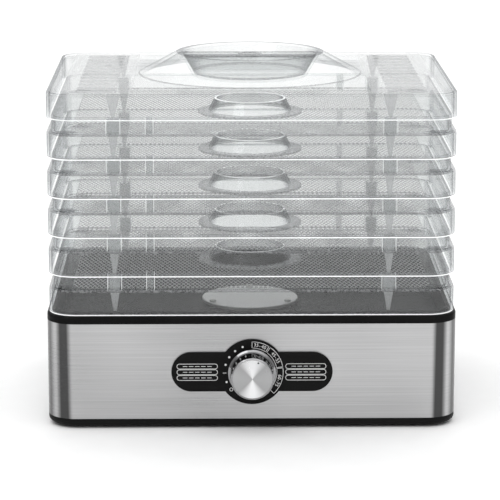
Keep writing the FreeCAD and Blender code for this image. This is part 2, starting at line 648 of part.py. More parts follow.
def make_impeller():
    """Fan wheel: back plate, hub and leaning blades."""
    plate = rod(FAN_RADIUS, 0, 0, FAN_LOW, FAN_LOW + 1.5)
    blades = []
    for index in range(FAN_BLADES):
        blade = block((12, FAN_RADIUS - 1), (3.4, 4.8), (FAN_LOW + 0.5, FAN_HIGH))
        blade.rotate(Vec(0, 0, 0), Vec(0, 0, 1), index * 360 / FAN_BLADES)
        blades.append(blade)
    wheel = joined(plate, rod(6.0, 0, 0, FAN_LOW, FAN_HIGH), *blades)
    return wheel.cut(rod(SHAFT_RADIUS, 0, 0, FAN_LOW - 1, FAN_HIGH + 1))


# ---- Wiring -------------------------------------------------------------------------------------

def make_terminal_block():
    """Terminal block beside the cord entry, with a clamp screw well and a wire hole for each pole."""
    depth = 14.0
    side = 7.0
    x_span = (TERMINAL_X[0] - side, TERMINAL_X[-1] + side)
    body = block(x_span, (TERMINAL_Y, TERMINAL_Y + depth), (PAN_FLOOR_TOP, 19.0))
    wells = [rod(2.6, x, TERMINAL_Y + depth / 2, 14.0, 20.0) for x in TERMINAL_X]
    wells += [rod_y(1.7, x, TERMINAL_Z, TERMINAL_Y - 1, TERMINAL_Y + depth + 1) for x in TERMINAL_X]
    return without(body, wells)


def bent_lead(points, radius):
    """Round lead along straight runs that are joined by tangent arcs."""
    edges = []
    start = points[0]
    for before, corner, after in zip(points, points[1:], points[2:]):
        into, out = (corner - before), (after - corner)
        half_turn = into.getAngle(out) / 2
        trim = 0.45 * min(into.Length, out.Length)
        into.normalize()
        out.normalize()
        bend = trim / math.tan(half_turn)
        inward = (out - into).normalize()
        middle = corner + inward * (bend / math.cos(half_turn) - bend)
        arc_start, arc_end = corner - into * trim, corner + out * trim
        edges.append(Part.LineSegment(start, arc_start).toShape())
        edges.append(Part.Arc(arc_start, middle, arc_end).toShape())
        start = arc_end
    edges.append(Part.LineSegment(start, points[-1]).toShape())
    path = Part.Wire(edges)
    first = points[1] - points[0]
    section = Part.Wire([Part.makeCircle(radius, points[0], first)])
    return path.makePipeShell([section], True, True)


def make_leads():
    """Leads between terminal block, thermostat, heater, thermal cut-out and motor."""
    tab_y = BAND_FRONT + TAB_REACH
    terminals = [(x, TERMINAL_Y, TERMINAL_Z) for x in TERMINAL_X]
    routes = [
        [terminals[0], (-55, 62, 11), (-74, 20, 14), (-74, -40, 20), (-46, -78, 34), (-TAB_X, -84, CONTROL_Z),
         (-TAB_X, tab_y, CONTROL_Z)],
        [(TAB_X, tab_y, CONTROL_Z), (TAB_X, -84, CONTROL_Z), (34, -74, 58), (62, -40, 62),
         (66, -5, ELEMENT_Z), (ELEMENT_END, -5, ELEMENT_Z)],
        [(ELEMENT_END, 5, ELEMENT_Z), (66, 5, ELEMENT_Z), (62, 44, 62), (30, 66, 56), (-20, 66, 54),
         (CUTOUT_X, 40, CUTOUT_Z), (CUTOUT_X, CUTOUT_HALF, CUTOUT_Z)],
        [(CUTOUT_X, -CUTOUT_HALF, CUTOUT_Z), (CUTOUT_X, -22, CUTOUT_Z), (-66, -26, 42), (-66, 20, 30),
         (-48, 56, 14), (-45, 70, 11), terminals[1]],
        [(COIL_X, COIL_HALF, 20), (COIL_X, 26, 20), (26, 50, 12), (-10, 62, 9), (-35, 68, 11), terminals[2]],
    ]
    return [bent_lead([Vec(*point) for point in route], LEAD_RADIUS) for route in routes]


def build_all():
    """Make and save every node."""
    os.makedirs("parts", exist_ok=True)

    save("bottom_pan", make_bottom_pan())
    save("feet", *make_feet())
    save("case_screws", *make_case_screws())
    save("steel_band", make_steel_band())
    save("top_housing", make_top_housing())
    save("cord_gland", make_cord_gland())

    save("control_fascia", make_fascia())
    save("thermostat", make_thermostat())
    save("thermostat_nut", make_thermostat_nut())
    save("thermostat_spindle", make_spindle())
    save("dial_knob", make_knob())
    save("knob_cap", make_knob_cap())

    save("deflector_disc", make_deflector_disc())
    save("disc_spacers", *make_disc_spacers())
    save("disc_screws", *make_disc_screws())
    save("heat_shield", make_heat_shield())
    save("heater_frame", make_heater_frame())
    save("heater_element", make_heater_element())
    save("thermal_cutout", make_thermal_fuse())

    save("motor_core", make_stator())
    save("motor_coil", make_motor_coil())
    save("lower_strap", make_bearing_strap(LOWER_STRAP, MOUNT_Y + 5, (-MOUNT_Y, -BOLT_Y, BOLT_Y, MOUNT_Y)))
    save("upper_strap", make_bearing_strap(UPPER_STRAP, BOLT_Y + 5, (-BOLT_Y, BOLT_Y)))
    save("strap_spacers", *make_strap_spacers())
    save("shaft_bearings", *make_bearings())
    save("motor_screws", *make_motor_screws())
    save("motor_shaft", rod(SHAFT_RADIUS, 0, 0, LOWER_STRAP - 4, FAN_HIGH + 1.5))
    save("motor_rotor", ring(ROTOR_RADIUS, CORE_SPAN[0] + 1, CORE_SPAN[1] - 1))
    save("fan_impeller", make_impeller())
    save("fan_clip", ring(4.0, FAN_HIGH, FAN_HIGH + 1.0))

    save("terminal_block", make_terminal_block())
    save("internal_leads", *make_leads())

    for number, ledge in LEDGE_OF_TRAY.items():
        save("tray_%d" % number, make_tray(ledge))
    save("lid", make_lid())


build_all()
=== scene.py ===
"""Looks of a food dehydrator: clear trays and lid on a brushed steel base with a dial.

Sizes in the classes are millimetres about the upright axis of the stack. The meshes are written in
metres in the object's own frame, where that axis stands a little behind the origin.
"""

import logging
import math
from dataclasses import dataclass, field
from enum import Enum, IntEnum
from typing import Callable, Iterable, Sequence

import bmesh
import bpy
from mathutils import Euler, Matrix, Vector
from mathutils.geometry import tessellate_polygon


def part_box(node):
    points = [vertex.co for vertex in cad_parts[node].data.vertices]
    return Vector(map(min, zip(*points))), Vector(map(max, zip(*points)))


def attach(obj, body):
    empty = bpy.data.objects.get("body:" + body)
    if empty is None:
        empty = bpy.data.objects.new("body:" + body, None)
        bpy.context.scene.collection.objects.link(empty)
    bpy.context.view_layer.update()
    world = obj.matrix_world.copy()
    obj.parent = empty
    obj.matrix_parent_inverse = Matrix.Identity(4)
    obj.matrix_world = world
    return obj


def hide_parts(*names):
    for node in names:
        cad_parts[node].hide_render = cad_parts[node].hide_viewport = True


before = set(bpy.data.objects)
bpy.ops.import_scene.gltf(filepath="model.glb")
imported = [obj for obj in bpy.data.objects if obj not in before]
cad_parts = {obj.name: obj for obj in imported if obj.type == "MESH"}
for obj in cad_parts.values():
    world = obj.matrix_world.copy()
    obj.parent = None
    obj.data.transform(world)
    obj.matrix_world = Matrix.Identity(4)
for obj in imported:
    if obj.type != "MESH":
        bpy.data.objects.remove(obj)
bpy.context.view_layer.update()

log = logging.getLogger("dehydrator")

Point2 = tuple[float, float]
Point3 = tuple[float, float, float]
Corner = tuple[float, float, float]
Colour = tuple[float, float, float]

MM = 0.001
TIER_PITCH = 31.89
SEAT_GAP = 0.05


class Body(Enum):
    """Moving bodies of the object."""

    BASE = "base"
    DIAL = "dial"
    LID = "lid"


class Slot(Enum):
    """Names of material slots."""

    CLEAR = "clear_plastic"
    GLOSS = "black_gloss"
    KNOB = "knob_metal"


class Look(IntEnum):
    """Numbers of the finishes on a clear moulding, the painted highlight and painted shade among them."""

    CLEAR = 0
    # painted highlight lines, which glow
    PAINTED_HIGHLIGHT = 1
    # painted shade where the surface is looked along
    PAINTED_EDGE_SHADE = 2
    FROSTED = 3
    SHADE = 4


# ---- Shader graph -------------------------------------------------------------------------------


class Value:
    """Output of a shader node that takes part in arithmetic."""

    def __init__(self, graph: "Graph", socket: bpy.types.NodeSocket) -> None:
        """Wrap a socket.

        Args:
            graph: The graph the socket belongs to.
            socket: The output socket.
        """
        self.graph = graph
        self.socket = socket

    def __add__(self, other: "Value | float") -> "Value":
        """Sum with another value."""
        return self.graph.maths("ADD", self, other)

    __radd__ = __add__

    def __sub__(self, other: "Value | float") -> "Value":
        """Difference from another value."""
        return self.graph.maths("SUBTRACT", self, other)

    def __rsub__(self, other: "Value | float") -> "Value":
        """Difference of another value from this one."""
        return self.graph.maths("SUBTRACT", other, self)

    def __mul__(self, other: "Value | float") -> "Value":
        """Product with another value."""
        return self.graph.maths("MULTIPLY", self, other)

    __rmul__ = __mul__

    def __truediv__(self, other: "Value | float") -> "Value":
        """Quotient by another value."""
        return self.graph.maths("DIVIDE", self, other)

    def __rtruediv__(self, other: "Value | float") -> "Value":
        """Quotient of another value by this one."""
        return self.graph.maths("DIVIDE", other, self)

    def __pow__(self, other: "Value | float") -> "Value":
        """This value to a power."""
        return self.graph.maths("POWER", self, other)

    def sine(self) -> "Value":
        """Sine of the value in radians.

        Returns:
            The sine.
        """
        return self.graph.maths("SINE", self, 0.0)

    def span(self, low: float, high: float, start: float = 0.0, end: float = 1.0) -> "Value":
        """Map the value from one range to another, held at both ends.

        Args:
            low: Result at start.
            high: Result at end.
            start: Value that gives low.
            end: Value that gives high.

        Returns:
            The mapped value.
        """
        sockets = {"Value": self, "From Min": start, "From Max": end, "To Min": low, "To Max": high}
        return self.graph.node("ShaderNodeMapRange", {"clamp": True}, sockets)


class Graph:
    """Node tree of one material or of the surroundings."""

    def __init__(self, owner: bpy.types.Material | bpy.types.World) -> None:
        """Start with an empty tree.

        Args:
            owner: What the tree belongs to.
        """
        self.owner = owner
        owner.use_nodes = True
        self.tree = owner.node_tree
        self.tree.nodes.clear()

    def node(self, kind: str, settings: dict | None = None, sockets: dict | None = None,
             output: int | str = 0) -> Value:
        """Add one node.

        Args:
            kind: Type of the node.
            settings: Properties to set on it.
            sockets: Values or links for its input sockets, by name or number.
            output: Which output to hand back.

        Returns:
            The chosen output.
        """
        made = self.tree.nodes.new(kind)
        for key, setting in (settings or {}).items():
            setattr(made, key, setting)
        for key, value in (sockets or {}).items():
            if isinstance(value, Value):
                self.tree.links.new(value.socket, made.inputs[key])
            else:
                made.inputs[key].default_value = value
        return Value(self, made.outputs[output])

    def maths(self, operation: str, first: "Value | float", second: "Value | float") -> Value:
        """Combine two values.

        Args:
            operation: Name of the operation.
            first: Left hand value.
            second: Right hand value.

        Returns:
            The result.
        """
        return self.node("ShaderNodeMath", {"operation": operation}, {0: first, 1: second})

    def blend(self, share: "Value | float", low: "Value | Colour", high: "Value | Colour") -> Value:
        """Blend two colours.

        Args:
            share: How much of the second colour.
            low: First colour.
            high: Second colour.

        Returns:
            The blended colour.
        """
        sides = [side if isinstance(side, Value) else (*side, 1.0) for side in (low, high)]
        return self.node("ShaderNodeMix", {"data_type": "RGBA"}, {0: share, 6: sides[0], 7: sides[1]}, 2)

    def place(self) -> Value:
        """Position in the piece's own space.

        Returns:
            The position vector.
        """
        return self.node("ShaderNodeTexCoord", output="Object")

    def stretched(self, scale: Point3, place: Value | None = None) -> Value:
        """Position scaled by axis.

        Args:
            scale: Scale along each axis.
            place: Position to scale, the piece's own when left out.

        Returns:
            The scaled position.
        """
        start = place or self.place()
        return self.node("ShaderNodeVectorMath", {"operation": "MULTIPLY"}, {0: start, 1: scale})

    def noise(self, place: Value, scale: float, detail: float = 2.0, roughness: float = 0.5) -> Value:
        """Soft noise from 0 to 1.

        Args:
            place: Position to look up.
            scale: Cells per metre.
            detail: Octaves.
            roughness: Strength of the higher octaves.

        Returns:
            The noise value.
        """
        sockets = {"Vector": place, "Scale": scale, "Detail": detail, "Roughness": roughness}
        return self.node("ShaderNodeTexNoise", None, sockets)

    def bump(self, height: Value, distance: float, strength: float = 1.0) -> Value:
        """Normal of a slightly uneven surface.

        Args:
            height: Height pattern.
            distance: Depth of the pattern in metres.
            strength: How much of it shows.

        Returns:
            The normal.
        """
        sockets = {"Strength": strength, "Distance": distance, "Height": height}
        return self.node("ShaderNodeBump", None, sockets)

    def surface(self, sockets: dict) -> Value:
        """Principled surface.

        Args:
            sockets: Values by socket name.

        Returns:
            The shader.
        """
        return self.node("ShaderNodeBsdfPrincipled", None, sockets)

    def lit_through(self, shader: Value, tint: Colour) -> Value:
        """Let lamps shine through a clear surface.

        Args:
            shader: The surface as it is seen.
            tint: Share of the light that passes.

        Returns:
            The shader.
        """
        lamp = self.node("ShaderNodeLightPath", output="Is Shadow Ray")
        clear = self.node("ShaderNodeBsdfTransparent", None, {"Color": (*tint, 1.0)})
        return self.node("ShaderNodeMixShader", None, {0: lamp, 1: shader, 2: clear})

    def finish(self, shader: Value) -> bpy.types.Material | bpy.types.World:
        """Send a shader to the output.

        Args:
            shader: The surface or the surroundings.

        Returns:
            What the tree belongs to.
        """
        kind = "Material" if isinstance(self.owner, bpy.types.Material) else "World"
        made = self.tree.nodes.new(f"ShaderNodeOutput{kind}")
        self.tree.links.new(shader.socket, made.inputs["Surface"])
        return self.owner


# ---- Finishes -----------------------------------------------------------------------------------


@dataclass(frozen=True)
class Finish:
    """A finish that can be made into a material."""

    name: str

    def material(self) -> bpy.types.Material:
        """Material of this finish, made once.

        Returns:
            The material.
        """
        name = f"{self.name}_finish"
        known = bpy.data.materials.get(name)
        return known or self.build(Graph(bpy.data.materials.new(name)))

    def build(self, graph: Graph) -> bpy.types.Material:
        """Build the node tree.

        Args:
            graph: Empty graph to fill.

        Returns:
            The finished material.
        """
        raise NotImplementedError


@dataclass(frozen=True)
class ClearPlastic(Finish):
    """Clear moulded plastic: seen straight through, brighter where it is looked along, with painted shade
    there too: the light it lets through turns to the deep colour.
    """

    tint: Colour = (0.93, 0.935, 0.935)
    # deep and its span paint shade where the surface is looked along
    deep: Colour = (0.6, 0.61, 0.62)
    painted_shade_span: Point2 = (0.86, 1.0)
    shine: Point2 = (0.05, 0.3)

    def build(self, graph: Graph) -> bpy.types.Material:
        """Build the node tree.

        Args:
            graph: Empty graph to fill.

        Returns:
            The finished material.
        """
        facing = graph.node("ShaderNodeLayerWeight", None, {"Blend": 0.5}, "Facing")
        flow = graph.noise(graph.place(), 16.0, 1.0)
        skin = graph.surface({
            "Base Color": graph.blend(flow, (0.95, 0.96, 0.96), (0.85, 0.86, 0.87)),
            "Metallic": 1.0,
            "Roughness": flow.span(0.02, 0.05),
        })
        sides = [graph.node("ShaderNodeBsdfTransparent", None, {"Color": (*colour, 1.0)})
                 for colour in (self.tint, self.deep)]
        # painted shade: share of the deep colour, rising where the surface is looked along
        depth = (facing + flow * 0.06 - 0.03).span(0.0, 1.0, *self.painted_shade_span)
        clear = graph.node("ShaderNodeMixShader", None, {0: depth, 1: sides[0], 2: sides[1]})
        low, high = self.shine
        mirror = facing ** 5.0 * (high - low) + low
        body = graph.node("ShaderNodeMixShader", None, {0: mirror, 1: clear, 2: skin})
        return graph.finish(graph.lit_through(body, self.tint))


@dataclass(frozen=True)
class PalePlastic(Finish):
    """Clear plastic that scatters light: mesh and frosted faces; also the painted highlight lines on edges,
    which glow, and the painted shade lines.
    """

    pale: Colour = (0.9, 0.91, 0.91)
    dull: Colour = (0.78, 0.79, 0.8)
    solid: float = 0.5
    varies: float = 0.2
    # glow: emission that paints the highlight lines on edges
    glow: float = 0.0
    grain: float = 500.0

    def build(self, graph: Graph) -> bpy.types.Material:
        """Build the node tree.

        Args:
            graph: Empty graph to fill.

        Returns:
            The finished material.
        """
        grain = graph.noise(graph.place(), self.grain, 2.0)
        share = grain.span(0.0, 1.0, 0.3, 0.7)
        skin = graph.surface({
            "Base Color": graph.blend(share, self.pale, self.dull),
            "Roughness": share.span(0.2, 0.35),
            "Emission Color": (1.0, 1.0, 1.0, 1.0),
            "Emission Strength": self.glow,
            "Normal": graph.bump(grain, 0.00003, 0.4),
        })
        clear = graph.node("ShaderNodeBsdfTransparent", None, {"Color": (0.985, 0.988, 0.988, 1.0)})
        density = share.span(self.solid - self.varies / 2, self.solid + self.varies / 2)
        body = graph.node("ShaderNodeMixShader", None, {0: density, 1: clear, 2: skin})
        return graph.finish(graph.lit_through(body, (0.9, 0.9, 0.9)))


@dataclass(frozen=True)
class Metal(Finish):
    """Metal with drawn or rolled marks along some axes."""

    dark: Colour = (0.5, 0.5, 0.5)
    light: Colour = (0.6, 0.6, 0.6)
    smooth: float = 0.25
    rough: float = 0.4
    scale: Point3 = (60.0, 60.0, 60.0)
    depth: float = 0.00002
    along: float = 0.0

    def build(self, graph: Graph) -> bpy.types.Material:
        """Build the node tree.

        Args:
            graph: Empty graph to fill.

        Returns:
            The finished material.
        """
        marks = graph.noise(graph.stretched(self.scale), 1.0, 3.0, 0.6)
        cloud = graph.noise(graph.place(), 7.0, 1.0)
        mixed = marks * 0.4 + cloud * 0.6
        colour = graph.blend(mixed.span(0.0, 1.0, 0.3, 0.7), self.dark, self.light)
        return graph.finish(graph.surface({
            # Base Color darkens towards near black by the painted shade
            "Base Color": graph.blend(self.shade(graph), colour, (0.05, 0.05, 0.05)),
            "Metallic": 1.0,
            "Roughness": mixed.span(self.smooth, self.rough, 0.3, 0.7),
            "Anisotropic": self.along,
            "Anisotropic Rotation": 0.25,
            "Normal": graph.bump(marks, self.depth, 0.5),
        }))

    def shade(self, graph: Graph) -> Value | float:
        """Painted shade of the metal, from 0 to 1; none on plain metal.

        Args:
            graph: Graph being filled.

        Returns:
            The share of darkness.
        """
        return 0.0


@dataclass(frozen=True)
class Brushed(Metal):
    """Brushed sheet with painted dark reflections: bands of painted shade where it bends away at the corners.
    """

    def shade(self, graph: Graph) -> Value | float:
        """Painted shade of the sheet, from 0 to 1: dark reflections painted in its corners.

        Args:
            graph: Graph being filled.

        Returns:
            The share of darkness.
        """
        facing = graph.node("ShaderNodeLayerWeight", None, {"Blend": 0.5}, "Facing")
        # painted dark reflections: a band just off the face-on view and a dark far edge, kept to the bent
        # corners
        near = facing.span(0.0, 0.95, 0.05, 0.1) * facing.span(1.0, 0.0, 0.22, 0.34)
        far = facing.span(0.0, 0.85, 0.4, 0.6)
        normal = graph.node("ShaderNodeNewGeometry", output="Normal")
        across, deep = (graph.node("ShaderNodeSeparateXYZ", None, {0: normal}, axis) for axis in "XY")
        bend = across * deep
        return (near + far) * (bend * bend).span(0.0, 1.0, 0.004, 0.04)


@dataclass(frozen=True)
class Spun(Metal):
    """Spun metal face with paler wedges above and below its axis, a painted reflection: the sides are painted
    darker.
    """

    def shade(self, graph: Graph) -> Value | float:
        """Painted shade of the face, from 0 to 1: darker towards the sides, which leaves painted highlight
        wedges above and below.

        Args:
            graph: Graph being filled.

        Returns:
            The share of darkness.
        """
        across, up = (graph.node("ShaderNodeSeparateXYZ", None, {0: graph.place()}, axis) for axis in "XY")
        # painted reflection: darker towards the sides of the face
        lean = across * across / (across * across + up * up + 1e-8)
        return lean.span(0.0, 0.6, 0.02, 0.5)


@dataclass(frozen=True)
class Plastic(Finish):
    """Opaque moulded plastic or rubber with a fine grain."""

    dark: Colour = (0.012, 0.012, 0.013)
    light: Colour = (0.018, 0.018, 0.019)
    smooth: float = 0.1
    rough: float = 0.16
    grain: float = 900.0
    depth: float = 0.00001
    coat: float = 0.0
    glance: float = 0.5

    def build(self, graph: Graph) -> bpy.types.Material:
        """Build the node tree.

        Args:
            graph: Empty graph to fill.

        Returns:
            The finished material.
        """
        grain = graph.noise(graph.place(), self.grain, 2.0)
        cloud = graph.noise(graph.place(), 22.0, 2.0)
        share = grain * 0.5 + cloud * 0.5
        return graph.finish(graph.surface({
            "Base Color": graph.blend(share.span(0.0, 1.0, 0.3, 0.7), self.dark, self.light),
            "Roughness": share.span(self.smooth, self.rough, 0.3, 0.7),
            "Coat Weight": self.coat,
            "Coat Roughness": 0.03,
            "Specular IOR Level": self.glance,
            "Normal": graph.bump(grain, self.depth, 0.6),
        }))


@dataclass(frozen=True)
class Banded(Finish):
    """Stacked sheets or wound wire: fine bands along one axis."""

    dark: Colour = (0.2, 0.2, 0.2)
    light: Colour = (0.5, 0.5, 0.5)
    axis: Point3 = (0.0, 0.0, 1.0)
    pitch: float = 0.0006
    rough: float = 0.4
    metallic: float = 1.0

    def build(self, graph: Graph) -> bpy.types.Material:
        """Build the node tree.

        Args:
            graph: Empty graph to fill.

        Returns:
            The finished material.
        """
        along = graph.node("ShaderNodeVectorMath", {"operation": "DOT_PRODUCT"},
                           {0: graph.place(), 1: self.axis}, "Value")
        wander = graph.noise(graph.place(), 90.0, 2.0)
        wave = (along * (2 * math.pi / self.pitch) + wander * 1.5).sine()
        bands = wave.span(0.0, 1.0, -1.0, 1.0)
        return graph.finish(graph.surface({
            "Base Color": graph.blend(bands * 0.7 + wander * 0.3, self.dark, self.light),
            "Metallic": self.metallic,
            "Roughness": wander.span(self.rough * 0.8, self.rough * 1.3, 0.3, 0.7),
            "Normal": graph.bump(bands, self.pitch * 0.3, 0.7),
        }))


class Finishes:
    """Every finish of the object."""

    CLEAR = ClearPlastic("clear_plastic")
    LID_CLEAR = ClearPlastic("clear_lid_plastic", (0.975, 0.978, 0.978), shine=(0.04, 0.3))
    # painted shade where the plastic is looked along
    PAINTED_EDGE_SHADE = ClearPlastic("clear_plastic_edge_painted_shade", deep=(0.42, 0.43, 0.44), painted_shade_span=(0.45, 0.92))
    MESH = PalePlastic("clear_plastic_mesh", (0.48, 0.485, 0.49), (0.33, 0.335, 0.34), solid=0.8)
    FROSTED = PalePlastic("frosted_plastic", (0.6, 0.605, 0.61), (0.52, 0.525, 0.53), solid=0.42, varies=0.1)
    # painted highlight lines, which glow
    PAINTED_HIGHLIGHT = PalePlastic("painted_highlight_edge", solid=0.8, varies=0.2, glow=0.35)
    SHADE = PalePlastic("clear_plastic_shade", (0.16, 0.165, 0.17), (0.28, 0.285, 0.29),
                        solid=0.55, varies=0.3)
    MOULDED = (CLEAR, PAINTED_HIGHLIGHT, PAINTED_EDGE_SHADE, FROSTED, SHADE)
    LID_MOULDED = (LID_CLEAR, PAINTED_HIGHLIGHT, PAINTED_EDGE_SHADE, FROSTED, SHADE)
    # brushed steel with painted dark reflections in its corners
    STEEL = Brushed("brushed_steel", (0.34, 0.34, 0.343), (0.6, 0.6, 0.604), 0.24, 0.36,
                    (7.0, 7.0, 1300.0), 0.00001, 0.6)
    GLOSS = Plastic("black_gloss", (0.006, 0.006, 0.006), (0.01, 0.01, 0.01), 0.12, 0.2, glance=0.05)
    HOUSING = Plastic("black_satin", (0.006, 0.006, 0.006), (0.012, 0.012, 0.012), 0.25, 0.34, glance=0.015)
    MATTE = Plastic("black_matte", (0.005, 0.005, 0.005), (0.009, 0.009, 0.009), 0.42, 0.55, 700.0, 0.00004,
                    glance=0.08)
    RUBBER = Plastic("dark_rubber", (0.02, 0.02, 0.02), (0.035, 0.035, 0.034), 0.65, 0.8, 500.0, 0.00005)
    KNOB = Metal("polished_metal", (0.26, 0.26, 0.265), (0.36, 0.36, 0.365), 0.08, 0.14)
    # spun face with painted highlight wedges
    SPUN = Spun("spun_aluminium", (0.84, 0.84, 0.85), (0.95, 0.95, 0.96), 0.24, 0.34,
                depth=0.000002, along=0.85)
    PALE_METAL = Metal("pale_metal", (0.68, 0.68, 0.68), (0.8, 0.8, 0.8), 0.32, 0.45)
    PLATED = Metal("plated_steel", (0.42, 0.42, 0.4), (0.56, 0.56, 0.55), 0.25, 0.42)
    LAMINATED = Banded("laminated_steel", (0.12, 0.12, 0.13), (0.42, 0.42, 0.43), pitch=0.001)
    COPPER = Banded("copper_winding", (0.35, 0.12, 0.04), (0.85, 0.4, 0.17), (0.0, 0.0, 1.0), 0.0009, 0.32)
    BRONZE = Metal("sintered_bronze", (0.3, 0.19, 0.09), (0.5, 0.34, 0.17), 0.45, 0.6, (900.0, 900.0, 900.0))
    MICA = Plastic("mica", (0.3, 0.25, 0.17), (0.62, 0.55, 0.42), 0.3, 0.5, 400.0, 0.00003)
    SHEATH = Metal("element_sheath", (0.16, 0.15, 0.14), (0.3, 0.27, 0.24), 0.4, 0.6, (300.0, 300.0, 300.0))
    PALE_PLASTIC = Plastic("pale_plastic", (0.72, 0.7, 0.64), (0.82, 0.8, 0.75), 0.35, 0.5)
    SLEEVE = Plastic("lead_sleeve", (0.55, 0.08, 0.04), (0.7, 0.14, 0.08), 0.4, 0.55)
    INK = Plastic("white_print", (0.78, 0.78, 0.78), (0.86, 0.86, 0.86), 0.4, 0.5)
    PALE_FLOOR = Plastic("pale_floor", (0.92, 0.92, 0.92), (0.94, 0.94, 0.94), 0.55, 0.7, 60.0, 0.00002)


# ---- Mesh building ------------------------------------------------------------------------------


def softened(outline: Sequence[Corner], closed: bool = True, steps: int = 3) -> list[Point2]:
    """Round the corners of an outline.

    Args:
        outline: Corners as (across, height, radius).
        closed: Whether the last corner joins the first; the ends of an open outline stay.
        steps: Straight pieces in each rounding.

    Returns:
        The points of the rounded outline.
    """
    soft: list[Point2] = []
    for number, (across, height, radius) in enumerate(outline):
        corner = Vector((across, height))
        at_end = not closed and number in (0, len(outline) - 1)
        if radius <= 0 or at_end:
            soft.append((across, height))
            continue
        before = Vector(outline[number - 1][:2]) - corner
        after = Vector(outline[(number + 1) % len(outline)][:2]) - corner
        reach = min(radius / math.tan(before.angle(after) / 2), 0.48 * before.length, 0.48 * after.length)
        start = corner + before.normalized() * reach
        end = corner + after.normalized() * reach
        for step in range(steps + 1):
            share = step / steps
            point = start * (1 - share) ** 2 + corner * (2 * share * (1 - share)) + end * share ** 2
            soft.append((point.x, point.y))
    return soft


def rounded_loop(half_x: float, half_y: float, corner: float, height: float, steps: int = 12,
                 centre: Point2 = (0.0, 0.0)) -> list[Point3]:
    """Rounded rectangle at one height.

    Args:
        half_x: Half its width.
        half_y: Half its depth.
        corner: Radius of its corners.
        height: Its height.
        steps: Straight pieces in each corner.
        centre: Its centre.

    Returns:
        Its points, anticlockwise from above.
    """
    radius = max(corner, 0.05)
    loop: list[Point3] = []
    for quarter, (side_x, side_y) in enumerate(((1, 1), (-1, 1), (-1, -1), (1, -1))):
        for step in range(steps + 1):
            turn = math.radians(90 * (quarter + step / steps))
            loop.append((centre[0] + side_x * (half_x - radius) + radius * math.cos(turn),
                         centre[1] + side_y * (half_y - radius) + radius * math.sin(turn), height))
    return loop


def circle_loop(radius: float, height: float, steps: int = 96, centre: Point2 = (0.0, 0.0)) -> list[Point3]:
    """Circle at one height.

    Args:
        radius: Its radius.
        height: Its height.
        steps: Straight pieces in it.
        centre: Its centre.

    Returns:
        Its points, anticlockwise from above.
    """
    turns = [2 * math.pi * step / steps for step in range(steps)]
    return [(centre[0] + radius * math.cos(turn), centre[1] + radius * math.sin(turn), height)
            for turn in turns]


Paint = Callable[[Vector, int], int]


def all_over(look: Look) -> Paint:
    """Rule that gives every face one finish.

    Args:
        look: The finish.

    Returns:
        The rule.
    """
    return lambda middle, number: look


